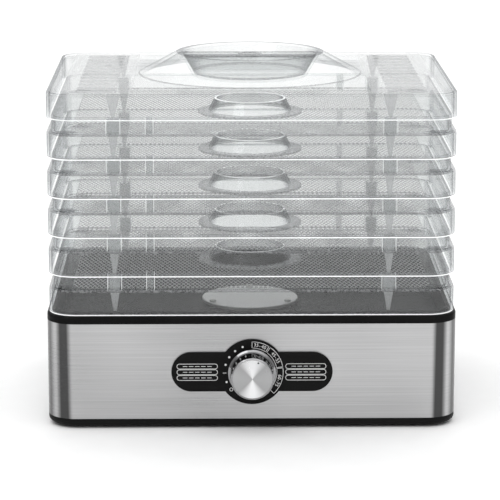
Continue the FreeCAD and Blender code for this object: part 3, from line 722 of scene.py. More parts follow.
class Mould:
    """Gathers faces, in millimetres, and turns them into one piece."""

    def __init__(self) -> None:
        """Start empty."""
        self.points: list[Point3] = []
        self.faces: list[tuple[list[int], int]] = []

    def _place(self, points: Iterable[Point3]) -> list[int]:
        """Store points.

        Args:
            points: The points.

        Returns:
            Their numbers.
        """
        start = len(self.points)
        self.points.extend(points)
        return list(range(start, len(self.points)))

    def face(self, points: Sequence[Point3], finish: int = 0) -> None:
        """Add one flat face.

        Args:
            points: Its corners in order.
            finish: Number of its finish.
        """
        self.faces.append((self._place(points), finish))

    def bridge(self, loops: Sequence[Sequence[Point3]], closed: bool = False, capped: bool = True,
               paint: Paint | None = None) -> None:
        """Skin a row of loops that have equal numbers of points.

        Args:
            loops: The loops in order.
            closed: Whether the last loop joins the first.
            capped: Whether the ends of an open row are closed by flat faces.
            paint: Finish of a face from its middle; clear when left out.
        """
        rows = [self._place(loop) for loop in loops]
        pairs = list(zip(rows, rows[1:]))
        if closed:
            pairs.append((rows[-1], rows[0]))
        for low, high in pairs:
            for number in range(len(low)):
                after = (number + 1) % len(low)
                corners = [low[number], low[after], high[after], high[number]]
                middle = sum((Vector(self.points[corner]) for corner in corners), Vector()) / 4
                self.faces.append((corners, paint(middle, number) if paint else Look.CLEAR))
        if capped and not closed:
            self.faces.append((rows[0][::-1], Look.CLEAR))
            self.faces.append((rows[-1], Look.CLEAR))

    def sheet(self, outer: Sequence[Point3], holes: Sequence[Sequence[Point3]] = (), finish: int = 0) -> None:
        """Fill a flat outline that may have holes.

        Args:
            outer: The outer loop.
            holes: Loops cut out of it.
            finish: Number of the finish.
        """
        loops = [list(outer), *[list(hole) for hole in holes]]
        numbers = self._place(point for loop in loops for point in loop)
        for triangle in tessellate_polygon([[Vector(point) for point in loop] for loop in loops]):
            self.faces.append(([numbers[index] for index in triangle], finish))

    def turned(self, outline: Sequence[Point2], closed: bool = True, steps: int = 96,
               paint: Paint | None = None) -> None:
        """Turn an outline of (radius, height) about the stack's axis.

        Args:
            outline: The outline.
            closed: Whether the outline closes on itself.
            steps: Straight pieces in a full turn.
            paint: Finish of a face from its middle; clear when left out.
        """
        loops = [circle_loop(radius, height, steps) for radius, height in outline]
        self.bridge(loops, closed, False, paint)

    def drop_face(self, near: Point3, reach: float = 1.0) -> None:
        """Take away the face whose middle is nearest a point.

        Args:
            near: The point.
            reach: How far its middle may be from the point.
        """
        goal = Vector(near)

        def away(entry: tuple[list[int], int]) -> float:
            """Distance of a face's middle from the point.

            Args:
                entry: Point numbers and finish of the face.

            Returns:
                The distance.
            """
            corners = [Vector(self.points[index]) for index in entry[0]]
            return (sum(corners, Vector()) / len(corners) - goal).length

        best = min(self.faces, key=away)
        if away(best) <= reach:
            self.faces.remove(best)

    def mesh(self, name: str, finishes: Sequence[Finish], crease: float = 32.0) -> bpy.types.Mesh:
        """Join the faces into one mesh in metres.

        Args:
            name: Name of the mesh.
            finishes: The finishes its faces point at.
            crease: Angle in degrees above which an edge stays sharp.

        Returns:
            The mesh.
        """
        data = bpy.data.meshes.new(name)
        work = bmesh.new()
        corners = [work.verts.new(Vector(point) * MM) for point in self.points]
        for numbers, finish in self.faces:
            made = work.faces.new([corners[number] for number in numbers])
            made.material_index = finish
            made.smooth = True
        bmesh.ops.remove_doubles(work, verts=work.verts, dist=1e-6)
        bmesh.ops.dissolve_degenerate(work, edges=work.edges, dist=1e-7)
        bmesh.ops.recalc_face_normals(work, faces=work.faces)
        work.to_mesh(data)
        work.free()
        for finish in finishes:
            data.materials.append(finish.material())
        data.set_sharp_from_angle(angle=math.radians(crease))
        return data


@dataclass
class Assembly:
    """A sub-assembly that adds or dresses pieces of the object.

    Attributes:
        stack_y: How far the stack's axis stands behind the origin, in metres.
    """

    stack_y: float = (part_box("lid")[0].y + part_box("lid")[1].y) / 2

    def build(self) -> None:
        """Make the pieces."""
        raise NotImplementedError

    def show(self, name: str, data: bpy.types.Mesh, body: str, slot: Slot, replaces: Sequence[str] = (),
             height: float = 0.0) -> bpy.types.Object:
        """Put a mesh into the scene as a piece of the object.

        Args:
            name: Name of the piece.
            data: Its mesh.
            body: The body it moves with.
            slot: Its material slot; not used.
            replaces: CAD nodes it stands for.
            height: How far it is lifted, in millimetres.

        Returns:
            The piece.
        """
        piece = bpy.data.objects.new(name, data)
        piece.location = (0.0, self.stack_y, height * MM)
        bpy.context.scene.collection.objects.link(piece)
        weighted = piece.modifiers.new("even_shading", "WEIGHTED_NORMAL")
        weighted.keep_sharp = True
        weighted.weight = 100
        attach(piece, body)
        if replaces:
            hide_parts(*replaces)
        log.info("%s: %d faces, moves with %s", name, len(data.polygons), body)
        return piece

    def dress(self, nodes: Iterable[str], finish: Finish) -> None:
        """Give carried CAD nodes a finish.

        Args:
            nodes: Names of the nodes.
            finish: Their finish.
        """
        for node in nodes:
            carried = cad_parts[node]
            carried.data.materials.clear()
            carried.data.materials.append(finish.material())
            log.info("%s: carried in %s", node, finish.name)


# ---- Clear tiers --------------------------------------------------------------------------------


@dataclass
class Tier(Assembly):
    """What trays and lid share: their plan, and the stakes that carry them."""

    half_width: float = 165.0
    half_depth: float = 125.0
    corner: float = 22.0
    wall: float = 2.0
    stake_x: float = 111.0
    stake_y: float = 114.5
    fin: float = 0.9
    tip: float = 1.2

    def ring(self, inset: float, height: float) -> list[Point3]:
        """Plan of the tier drawn in.

        Args:
            inset: How far in from its outer face.
            height: Height of the loop.

        Returns:
            The loop.
        """
        return rounded_loop(self.half_width - inset, self.half_depth - inset, self.corner - inset, height)

    def deep_corner(self, middle: Vector) -> bool:
        """Whether a face lies in a rounded corner of the plan.

        Args:
            middle: Middle of the face.

        Returns:
            True in the four corners.
        """
        return (abs(middle.x) > self.half_width - self.corner + 0.1 and
                abs(middle.y) > self.half_depth - self.corner + 0.1)

    def corners(self) -> list[Point2]:
        """Places of the stakes.

        Returns:
            Four (x, y) places.
        """
        return [(x, y) for x in (-self.stake_x, self.stake_x) for y in (-self.stake_y, self.stake_y)]

    def stake(self, mould: Mould, place: Point2, sizes: Sequence[Corner]) -> None:
        """Add a cross-shaped stake.

        Args:
            mould: Where it goes.
            place: Its (x, y) place.
            sizes: (half width, half depth, height) from top to tip.
        """
        half = self.fin
        loops = []
        for wide, deep, height in sizes:
            cross = [(wide, -half), (wide, half), (half, half), (half, deep), (-half, deep), (-half, half),
                     (-wide, half), (-wide, -half), (-half, -half), (-half, -deep), (half, -deep),
                     (half, -half)]
            loops.append([(place[0] + x, place[1] + y, height) for x, y in cross])
        mould.bridge(loops, paint=all_over(Look.FROSTED))

    def hollow_post(self, mould: Mould, place: Point2, half: Point2, span: Point2, wall: float) -> None:
        """Add a post that is hollow from below.

        Args:
            mould: Where it goes.
            place: Its (x, y) place.
            half: Half its width and depth.
            span: Lowest and highest point.
            wall: Thickness of its wall.
        """
        low, high = span
        soft = 0.5
        outside = [(0.0, low), (0.0, high - soft), (0.15, high - 0.15), (soft, high)]
        inside = [(wall, high - wall), (wall, low)]
        loops = [rounded_loop(half[0] - inset, half[1] - inset, 1.0 - 0.5 * inset, height, 3, place)
                 for inset, height in outside[::-1] + inside]
        mould.bridge(loops[:4] + loops[5:4:-1] + [loops[4]], paint=self.post_paint(place, half))

    def post_paint(self, place: Point2, half: Point2) -> Paint:
        """Painted highlight on the upright edges on the outside of a post.

        Args:
            place: Its (x, y) place.
            half: Half its width and depth.

        Returns:
            The rule.
        """
        def rule(middle: Vector, number: int) -> int:
            """Finish of one face.

            Args:
                middle: Middle of the face.
                number: Its place round the post.

            Returns:
                Number of the finish.
            """
            outside = abs(middle.x - place[0]) > half[0] - 0.6 and abs(middle.y - place[1]) > half[1] - 0.6
            return Look.PAINTED_HIGHLIGHT if outside and number % 4 != 3 else Look.CLEAR
        return rule


@dataclass
class Tray(Tier):
    """One clear tray, drawn with its ledge at height 0."""

    skirt_drop: float = 21.3
    rim_inset: float = 4.0
    rim_rise: float = 13.0
    floor_span: Point2 = (-2.0, -0.6)
    mesh_half: Point2 = (145.0, 113.0)
    mesh_corner: float = 12.0
    tower_rise: float = 11.5
    tower_half: Point2 = (6.0, 5.0)
    post_x: float = 82.0
    post_side: float = 7.0
    collar_foot: float = 36.0
    collar_top: float = 30.0
    collar_rise: float = 10.4
    collar_ring: float = 44.0
    # heights above the skirt's foot where the painted highlight line and the painted shade line end
    painted_highlight_top: float = 1.0
    painted_shade_top: float = 1.8
    shoulder: float = 2.8
    pitch: Point2 = (3.7, 11.0)
    bar_width: float = 0.8
    bar_span: Point2 = (-1.15, -0.75)
    trays: int = 5

    def plan(self, inset: float, height: float) -> list[Point3]:
        """Plan drawn in, which turns into the edge of the mesh beyond the inner wall.

        Args:
            inset: How far in from the outer face, as measured at the sides.
            height: Height of the loop.

        Returns:
            The loop.
        """
        wall = self.rim_inset + self.wall
        if inset <= wall:
            return self.ring(inset, height)
        edge = self.half_width - self.mesh_half[0]
        share = (inset - wall) / (edge - wall)
        half_depth = self.half_depth - wall + share * (self.mesh_half[1] - self.half_depth + wall)
        corner = self.corner - wall + share * (self.mesh_corner - self.corner + wall)
        return rounded_loop(self.half_width - inset, half_depth, corner, height)

    def shell(self) -> Mould:
        """Skirt, shoulder, inner wall, floor border, collar, towers, stakes and posts.

        Returns:
            The filled mould.
        """
        mould = Mould()
        under, over = self.floor_span
        inner = self.rim_inset + self.wall
        edge = self.half_width - self.mesh_half[0]
        foot = -self.skirt_drop
        outline = softened([
            (0.0, foot, 0.9), (0.0, foot + self.painted_highlight_top, 0.0), (0.0, foot + self.painted_shade_top, 0.0),
            (0.0, 0.0, self.shoulder), (self.rim_inset, 0.0, 0.7),
            (self.rim_inset, self.rim_rise, 0.6), (inner, self.rim_rise, 0.6), (inner, over, 0.8),
            (edge, over, 0.3), (edge, under, 0.3), (self.wall, under, 0.4), (self.wall, foot, 0.5)])
        loops = [self.plan(inset, height) for inset, height in outline]
        mould.bridge(loops, closed=True, paint=self.shell_paint)
        wide, top = self.collar_foot, self.collar_top
        mould.turned(softened([
            (self.collar_ring, under, 0.2), (self.collar_ring, over, 0.2), (wide - 0.6, over, 1.0),
            (top, self.collar_rise, 0.7), (top - self.wall, self.collar_rise, 0.7),
            (wide - self.wall, under, 0.5)]),
            paint=self.collar_paint)
        for place in self.corners():
            self.hollow_post(mould, place, self.tower_half, (under, self.tower_rise), 1.6)
            roof = self.tower_rise - 1.0
            tip = self.tower_rise - TIER_PITCH + SEAT_GAP
            self.stake(mould, place, [(4.6, 3.6, roof), (3.95, 3.5, under), (self.tip, self.tip, tip)])
        for place in self.posts():
            half = self.post_side / 2
            self.hollow_post(mould, place, (half, half + 0.25), (under, self.rim_rise), 1.4)
        return mould

    def shell_paint(self, middle: Vector, number: int) -> int:
        """Finish of the skirt, shoulder and inner wall: a painted highlight line at the foot of the skirt and
        a painted shade line above it, painted shade on the shoulder, and painted shade where looked along on
        the lower shoulder, the rim top and the corners.

        Args:
            middle: Middle of the face.
            number: Its place round the tray.

        Returns:
            Number of the finish.
        """
        if middle.z < self.painted_highlight_top - self.skirt_drop:
            return Look.PAINTED_HIGHLIGHT
        if middle.z < self.painted_shade_top - self.skirt_drop:
            return Look.SHADE
        on_shoulder = -self.shoulder < middle.z < 0.01 and (abs(middle.x) > self.half_width - 3.0 or
                                                  abs(middle.y) > self.half_depth - 3.0)
        if on_shoulder and middle.z > -1.9:
            return Look.SHADE
        if on_shoulder or middle.z > self.rim_rise - 0.6 or self.deep_corner(middle):
            return Look.PAINTED_EDGE_SHADE
        return Look.CLEAR

    def collar_paint(self, middle: Vector, number: int) -> int:
        """Finish of the chimney collar: a painted highlight on its top, painted shade where looked along on
        its sloping wall and a painted shade line at its foot.

        Args:
            middle: Middle of the face.
            number: Its place round the collar.

        Returns:
            Number of the finish.
        """
        if middle.z > self.collar_rise - 0.6:
            return Look.PAINTED_HIGHLIGHT
        return Look.PAINTED_EDGE_SHADE if middle.z > 0.0 else Look.SHADE

    def posts(self) -> list[Point2]:
        """Places of the square posts.

        Returns:
            Two (x, y) places.
        """
        y = self.half_depth - self.rim_inset - self.wall - self.post_side / 2 + 0.25
        return [(-self.post_x, -y), (self.post_x, y)]

    def open_floor(self, x: float, y: float) -> bool:
        """Whether the mesh of the floor reaches a place.

        Args:
            x: Place across.
            y: Place in depth.

        Returns:
            True where bars of the mesh run.
        """
        bite = 0.5
        corner = self.mesh_corner
        over_x = abs(x) - (self.mesh_half[0] + bite - corner)
        over_y = abs(y) - (self.mesh_half[1] + bite - corner)
        if math.hypot(max(over_x, 0.0), max(over_y, 0.0)) > corner:
            return False
        if math.hypot(x, y) < self.collar_ring - bite:
            return False
        in_tower = abs(abs(x) - self.stake_x) < self.tower_half[0] - bite and abs(y) > self.stake_y - 4.5
        in_post = any(abs(x - post_x) < 3.0 and abs(y - post_y) < 3.2 for post_x, post_y in self.posts())
        return not in_tower and not in_post

    def lattice(self) -> Mould:
        """Diamond mesh of the floor, in two layers of slanting bars.

        Returns:
            The filled mould.
        """
        mould = Mould()
        under, over = self.bar_span
        lean = self.pitch[0] / self.pitch[1]
        lines = int((self.mesh_half[0] + lean * self.mesh_half[1]) / self.pitch[0]) + 1
        half = self.bar_width / 2
        for slope, low, high in ((lean, under, over), (-lean, under + 0.06, over + 0.06)):
            for line in range(-lines, lines + 1):
                for start, end in self.runs(line * self.pitch[0], slope):
                    self.bar(mould, start, end, (half, low, high))
        return mould

    def runs(self, offset: float, slope: float) -> list[tuple[Point2, Point2]]:
        """Stretches of one slanting line that lie on the open floor.

        Args:
            offset: Where the line crosses the X axis.
            slope: How far it moves across for each unit of depth.

        Returns:
            Pairs of end points.
        """
        step = 0.3
        reach = self.half_depth
        found: list[tuple[Point2, Point2]] = []
        start: Point2 | None = None
        last: Point2 = (0.0, 0.0)
        for number in range(int(2 * reach / step) + 1):
            y = -reach + number * step
            here = (offset + slope * y, y)
            inside = self.open_floor(*here)
            if inside and start is None:
                start = here
            if not inside and start is not None:
                if math.dist(start, last) > 1.0:
                    found.append((start, last))
                start = None
            last = here
        return found

    def bar(self, mould: Mould, start: Point2, end: Point2, section: Corner) -> None:
        """Add one bar of the mesh.

        Args:
            mould: Where it goes.
            start: One end.
            end: The other end.
            section: Half width, underside and top.
        """
        half, low, high = section
        along = (Vector(end) - Vector(start)).normalized()
        outline = [(-half, low + 0.15), (-0.6 * half, low), (0.6 * half, low), (half, low + 0.15),
                   (0.6 * half, high), (-0.6 * half, high)]
        mould.bridge([[(x + across * along.y, y - across * along.x, height) for across, height in outline]
                      for x, y in (start, end)])

    def build(self) -> None:
        """Make the five trays from one pair of meshes."""
        shell = self.shell().mesh("tray_shell", Finishes.MOULDED)
        lattice = self.lattice().mesh("tray_lattice", [Finishes.MESH], 20.0)
        for number in range(1, self.trays + 1):
            node = f"tray_{number}"
            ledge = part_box(node)[1].z / MM - self.rim_rise
            self.show(f"{node}_shell", shell, node, Slot.CLEAR, [node], ledge)
            self.show(f"{node}_mesh", lattice, node, Slot.CLEAR, [node], ledge)


@dataclass
class Lid(Tier):
    """Clear lid, drawn with the top of its plate at height 0."""

    skirt_drop: float = 21.03
    plate: float = 2.0
    edge: float = 3.0
    dome_foot: float = 94.0
    dome_rim: float = 61.0
    dome_height: float = 18.0
    well: float = 47.0
    # ends of the painted shade lines at the dome's foot and the well's foot
    foot_line: Point2 = (1.4, 0.78)
    well_line: Point2 = (1.2, 2.1)
    bar_half: float = 17.0
    bar_rise: float = 16.0
    bar_lean: float = 3.0
    dimple: float = 10.0
    hollow: Point2 = (43.0, 15.0)
    vent_x: float = 125.0
    vent_half: Point2 = (16.0, 3.0)
    vent_pitch: float = 18.3
    vents: int = 12
    panel_x: Point2 = (96.0, 153.0)
    panel_y: float = 113.0

    def vent_loops(self, side: int, height: float) -> list[list[Point3]]:
        """Slots of one side.

        Args:
            side: -1 for the left, 1 for the right.
            height: Height of the loops.

        Returns:
            One loop for each slot.
        """
        half_x, half_y = self.vent_half
        rows = [(row - (self.vents - 1) / 2) * self.vent_pitch for row in range(self.vents)]
        return [rounded_loop(half_x, half_y, half_y - 0.02, height, 6, (side * self.vent_x, y)) for y in rows]

    def panel_loop(self, side: int, height: float) -> list[Point3]:
        """Frosted panel of one side.

        Args:
            side: -1 for the left, 1 for the right.
            height: Height of the loop.

        Returns:
            Its outline.
        """
        near, far = self.panel_x
        centre = (side * (near + far) / 2, 0.0)
        return rounded_loop((far - near) / 2, self.panel_y, 1.5, height, 3, centre)

    def plate_mould(self, mould: Mould) -> None:
        """Add skirt, plate, panels and vents.

        Args:
            mould: Where they go.
        """
        under = -self.plate
        outline = softened([
            (self.edge, 0.0, 0.0), (0.0, 0.0, self.edge), (0.0, -self.skirt_drop, 0.5),
            (self.wall, -self.skirt_drop, 0.5), (self.wall, under, 1.0), (self.edge, under, 0.0)], False, 5)
        loops = [self.ring(inset, height) for inset, height in outline]
        mould.bridge(loops, capped=False, paint=self.plate_paint)
        circle = circle_loop(self.dome_foot, 0.0)
        panels = [self.panel_loop(side, 0.0) for side in (-1, 1)]
        mould.sheet(loops[0], [circle, *panels])
        vents_under = []
        for side, panel in zip((-1, 1), panels):
            over = self.vent_loops(side, 0.0)
            below = self.vent_loops(side, under)
            mould.sheet(panel, over, finish=Look.FROSTED)
            vents_under += below
            for top_loop, low_loop in zip(over, below):
                mould.bridge([top_loop, low_loop], capped=False, paint=all_over(Look.FROSTED))
        mould.sheet(loops[-1], [circle_loop(self.dome_foot - 3.5, under), *vents_under])

    def plate_paint(self, middle: Vector, number: int) -> int:
        """Finish of the skirt and the rounded edge of the plate: a painted highlight line at the skirt's
        foot, painted shade where looked along on the rounded edge and in the corners.

        Args:
            middle: Middle of the face.
            number: Its place round the lid.

        Returns:
            Number of the finish.
        """
        if middle.z < -self.skirt_drop + 0.6:
            return Look.PAINTED_HIGHLIGHT
        return Look.PAINTED_EDGE_SHADE if middle.z > -self.edge or self.deep_corner(middle) else Look.CLEAR

    def dome_paint(self, middle: Vector, number: int) -> int:
        """Finish of the dome: painted shade lines at its foot and at the well's foot, painted shade where
        looked along on the well wall and the top of the rim.

        Args:
            middle: Middle of the face.
            number: Its place round the dome.

        Returns:
            Number of the finish.
        """
        reach = math.hypot(middle.x, middle.y)
        if middle.z < 0.5 or (middle.z < 1.5 and reach < self.well + 1.5):
            return Look.SHADE
        inside = reach < self.dome_rim - 3.0
        return Look.PAINTED_EDGE_SHADE if inside or middle.z > self.dome_height - 1.5 else Look.CLEAR

    def bar_paint(self, middle: Vector, number: int) -> int:
        """Finish of the bar handle: painted shade lines along its rounded top edges and its foot, and painted
        shade where looked along on its sides and top.

        Args:
            middle: Middle of the face.
            number: Its place round the bar.

        Returns:
            Number of the finish.
        """
        if self.bar_rise - 1.3 < middle.z < self.bar_rise - 0.01:
            return Look.SHADE
        return Look.PAINTED_EDGE_SHADE if middle.z > 1.0 else Look.SHADE

    def dome_mould(self, mould: Mould) -> None:
        """Add the crater-shaped dome and its well floor.

        Args:
            mould: Where they go.
        """
        under = -self.plate
        rim, high = self.dome_rim, self.dome_height
        foot_in, foot_up = self.foot_line
        well_out, well_up = self.well_line
        over = softened([(self.dome_foot, 0.0, 0.0), (self.dome_foot - foot_in, foot_up, 0.0),
                         (rim + 0.6, high, 1.6), (rim - 3.8, high, 1.4),
                         (self.well + well_out, well_up, 0.0), (self.well, 0.0, 0.0)], False, 6)
        mould.turned(over, closed=False, paint=self.dome_paint)
        below = softened([(self.dome_foot - 3.5, under, 0.0), (rim - 0.9, high - self.plate, 0.8),
                          (rim - 2.6, high - self.plate, 0.6), (self.well + 1.2, under, 0.0)], False, 4)
        mould.turned(below, closed=False)
        gap = [rounded_loop(*self.hollow, 1.5, height, 3) for height in (0.0, under)]
        mould.sheet(circle_loop(self.well, 0.0), [gap[0]])
        mould.sheet(circle_loop(self.well + 1.2, under), [gap[1]])
        mould.bridge(gap, capped=False)

    def bar_mould(self, mould: Mould) -> None:
        """Add the hollow bar handle across the well, with a thumb dimple on top.

        Args:
            mould: Where it goes.
        """
        top, lean, half, sunk = self.bar_rise, self.bar_lean, self.bar_half, -0.4
        outer = softened([(-half, sunk, 0.0), (-half + lean, top, 1.5), (half - lean, top, 1.5),
                          (half, sunk, 0.0)], False, 5)
        thick = self.plate
        inner = softened([(-half + thick, sunk, 0.0), (-half + lean + thick, top - thick, 1.0),
                          (half - lean - thick, top - thick, 1.0), (half - thick, sunk, 0.0)], False, 5)

        def end(y: float, height: float) -> float:
            """How far the bar reaches before it is inside the wall of the well.

            Args:
                y: Place in depth.
                height: Height above the plate.

            Returns:
                Half its length there.
            """
            radius = self.well + (self.dome_rim - 4 - self.well) * max(height, 0.0) / (self.dome_height - 1)
            return math.sqrt(radius ** 2 - y ** 2) + 0.7

        outline = outer + inner[::-1]
        ends = [[(side * end(y, height), y, height) for y, height in outline] for side in (-1, 1)]
        mould.bridge(ends, capped=False, paint=self.bar_paint)
        count = len(outer)
        for loop in ends:
            for number in range(count - 1):
                mould.face([loop[number], loop[number + 1], loop[-2 - number], loop[-1 - number]])
        flat = [number for number in range(count - 1)
                if outer[number][1] == outer[number + 1][1] == top or
                min(outer[number][1], outer[number + 1][1]) > top - 1e-6]
        first, second = flat[0], flat[0] + 1
        corners = [ends[0][first], ends[0][second], ends[1][second], ends[1][first]]
        mould.drop_face(tuple(sum(corner[axis] for corner in corners) / 4 for axis in range(3)))
        mould.sheet(corners, [circle_loop(self.dimple, top, 48)])
        dish = softened([(self.dimple, top, 0.0), (self.dimple - 0.8, top - 0.8, 0.6),
                         (0.05, top - 1.0, 0.0)], False, 4)
        loops = [circle_loop(radius, height, 48) for radius, height in dish]
        # painted shade in the thumb dimple
        mould.bridge(loops, capped=False, paint=all_over(Look.SHADE))
        mould.face(loops[-1])

    def build(self) -> None:
        """Make the lid."""
        mould = Mould()
        self.plate_mould(mould)
        self.dome_mould(mould)
        self.bar_mould(mould)
        tip = -self.skirt_drop - TIER_PITCH + Tray.skirt_drop + Tray.tower_rise + SEAT_GAP
        for place in self.corners():
            self.stake(mould, place, [(5.7, 4.5, -self.plate + 0.4), (self.tip, self.tip, tip)])
        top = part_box("lid")[1].z / MM - self.dome_height
        data = mould.mesh("lid", Finishes.LID_MOULDED)
        self.show("lid_moulding", data, Body.LID.value, Slot.CLEAR, ["lid"], top)


# ---- Base ---------------------------------------------------------------------------------------


@dataclass
class BaseCase(Assembly):
    """Outer case of the base: carried parts in their finishes."""

    def build(self) -> None:
        """Dress the case."""
        self.dress(["steel_band"], Finishes.STEEL)
        self.dress(["top_housing"], Finishes.HOUSING)
        self.dress(["bottom_pan"], Finishes.MATTE)
        self.dress(["feet", "cord_gland"], Finishes.RUBBER)
        self.dress(["deflector_disc"], Finishes.PALE_METAL)
        self.dress(["disc_spacers", "disc_screws", "case_screws"], Finishes.PLATED)


@dataclass
class Internals(Assembly):
    """Heater, motor, fan, thermostat and wiring inside the base."""

    def build(self) -> None:
        """Dress the working parts."""
        self.dress(["thermostat", "thermostat_nut", "thermostat_spindle", "heat_shield", "lower_strap",
                    "upper_strap", "strap_spacers", "motor_screws", "motor_shaft", "fan_clip"],
                   Finishes.PLATED)
        self.dress(["motor_core", "motor_rotor"], Finishes.LAMINATED)
        self.dress(["motor_coil"], Finishes.COPPER)
        self.dress(["shaft_bearings"], Finishes.BRONZE)
        self.dress(["heater_frame"], Finishes.MICA)
        self.dress(["heater_element"], Finishes.SHEATH)
        self.dress(["thermal_cutout", "terminal_block"], Finishes.PALE_PLASTIC)
        self.dress(["internal_leads"], Finishes.SLEEVE)
        self.dress(["fan_impeller"], Finishes.MATTE)


@dataclass
class ControlPanel(Assembly):
    """Fascia with its printed marks, and the dial knob."""

    centre_z: float = 48.0
    front: float = -129.0
    print_lift: float = 0.04
    line: float = 0.4
    ring_span: Point2 = (20.2, 25.3)
    dot_ring: float = 22.3
    scale_boxes: tuple = ((0.0, 33.0, "35-40"), (36.0, 80.0, "45-55"), (82.0, 135.5, "60-75"))
    dots: tuple = (-20.0, -38.0, -56.0, -74.0, -112.0)
    on_turn: float = -92.0
    off_turn: float = -131.0
    capsules: tuple = ((-60.9, -28.0), (27.3, 60.0))
    capsule_height: float = 4.1
    capsule_pitch: float = 4.8
    cap_radius: float = 15.9
    cap_front: float = -151.4

    def at(self, radius: float, turn: float) -> Point2:
        """Place on the fascia.

        Args:
            radius: Distance from the dial's axis.
            turn: Degrees clockwise from the top.

        Returns:
            (x, z) from the dial's axis.
        """
        return (radius * math.sin(math.radians(turn)), radius * math.cos(math.radians(turn)))

    def stroke(self, mould: Mould, path: Sequence[Point2], closed: bool = True) -> None:
        """Print a line along a path.

        Args:
            mould: Where it goes.
            path: Points as (x, z) from the dial's axis.
            closed: Whether the path closes.
        """
        half = self.line / 2
        sides: list[list[Point3]] = [[], [], [], []]
        for number, (x, z) in enumerate(path):
            before = Vector(path[number - 1]) if closed or number else Vector((x, z))
            last = number == len(path) - 1
            after = Vector(path[(number + 1) % len(path)]) if closed or not last else Vector((x, z))
            along = (after - before).normalized()
            across = Vector((-along.y, along.x)) * half
            for place, (side, depth) in enumerate(((1, 0.0), (1, 1.0), (-1, 1.0), (-1, 0.0))):
                y = self.front + 0.02 - depth * (self.print_lift + 0.02)
                sides[place].append((x + side * across.x, y, self.centre_z + z + side * across.y))
        loops = [list(corner) for corner in zip(*sides)]
        mould.bridge(loops, closed=closed)

    def disc(self, mould: Mould, centre: Point2, radius: float) -> None:
        """Print a dot.

        Args:
            mould: Where it goes.
            centre: (x, z) from the dial's axis.
            radius: Its radius.
        """
        loops = []
        for depth in (0.0, 1.0):
            y = self.front + 0.02 - depth * (self.print_lift + 0.02)
            loops.append([(centre[0] + x, y, self.centre_z + centre[1] + z)
                          for x, z, _ in circle_loop(radius, 0.0, 20)])
        mould.bridge(loops)

    def capsule(self, mould: Mould, span: Point2, height: float) -> None:
        """Print a round-ended frame with a few short dashes in it.

        Args:
            mould: Where it goes.
            span: Left and right ends.
            height: Height of its middle above the dial's axis.
        """
        half = (span[1] - span[0]) / 2
        middle = (span[0] + span[1]) / 2
        frame_path = rounded_loop(half, self.capsule_height / 2, self.capsule_height / 2 - 0.05, 0.0, 6,
                                  (middle, height))
        self.stroke(mould, [(x, z) for x, z, _ in frame_path])
        for dash in range(-2, 3):
            centre = middle + dash * half * 0.3
            self.stroke(mould, [(centre - half * 0.11, height), (centre + half * 0.11, height)], closed=False)

    def numerals(self, text: str, turn: float, radius: float, size: float) -> list[bpy.types.Object]:
        """Print numerals that follow the dial.

        Args:
            text: What to print.
            turn: Turn of the middle of the text.
            radius: Distance of the text's middle line from the axis.
            size: Height of the numerals.

        Returns:
            One piece for each numeral.
        """
        made = []
        advance = math.degrees(0.72 * size / radius)
        for number, sign in enumerate(text):
            here = turn + (number - (len(text) - 1) / 2) * advance
            curve = bpy.data.curves.new(f"numeral_{text}_{number}", "FONT")
            curve.body = sign
            curve.size = size * 1.35 * MM
            curve.align_x = "CENTER"
            curve.align_y = "CENTER"
            curve.extrude = 0.02 * MM
            curve.resolution_u = 3
            temporary = bpy.data.objects.new("numeral", curve)
            bpy.context.scene.collection.objects.link(temporary)
            bpy.context.view_layer.update()
            data = bpy.data.meshes.new_from_object(temporary)
            bpy.data.objects.remove(temporary)
            x, z = self.at(radius, here)
            turned = Matrix.Rotation(math.radians(here), 4, "Y") @ Matrix.Rotation(math.radians(90), 4, "X")
            place = Vector((x, self.front - 0.02, self.centre_z + z)) * MM
            data.transform(Matrix.Translation(place) @ turned)
            data.materials.clear()
            data.materials.append(Finishes.INK.material())
            made.append(data)
        return made

    def marks(self) -> None:
        """Print the scale, the dots, the on and off marks and the side frames."""
        mould = Mould()
        near, far = self.ring_span
        for start, end, _ in self.scale_boxes:
            steps = max(4, int((end - start) / 3))
            turns = [start + (end - start) * step / steps for step in range(steps + 1)]
            path = [self.at(far, turn) for turn in turns] + [self.at(near, turn) for turn in turns[::-1]]
            self.stroke(mould, path)
        for turn in self.dots:
            self.disc(mould, self.at(self.dot_ring, turn), 0.9)
        bar = [self.at(radius, self.on_turn) for radius in (self.dot_ring - 1.4, self.dot_ring + 1.4)]
        self.stroke(mould, bar, closed=False)
        ring_x, ring_z = self.at(self.dot_ring, self.off_turn)
        self.stroke(mould, [(ring_x + x, ring_z + z) for x, z, _ in circle_loop(1.3, 0.0, 20)])
        for span in self.capsules:
            for row in (-1, 0, 1):
                self.capsule(mould, span, row * self.capsule_pitch)
        self.show("fascia_print", mould.mesh("fascia_print", [Finishes.INK]), Body.BASE.value, Slot.GLOSS)
        for start, end, text in self.scale_boxes:
            middle = (near + far) / 2
            for number, data in enumerate(self.numerals(text, (start + end) / 2, middle, 2.9)):
                name = f"numeral_{text.replace('-', '_')}_{number}"
                self.show(name, data, Body.BASE.value, Slot.GLOSS)

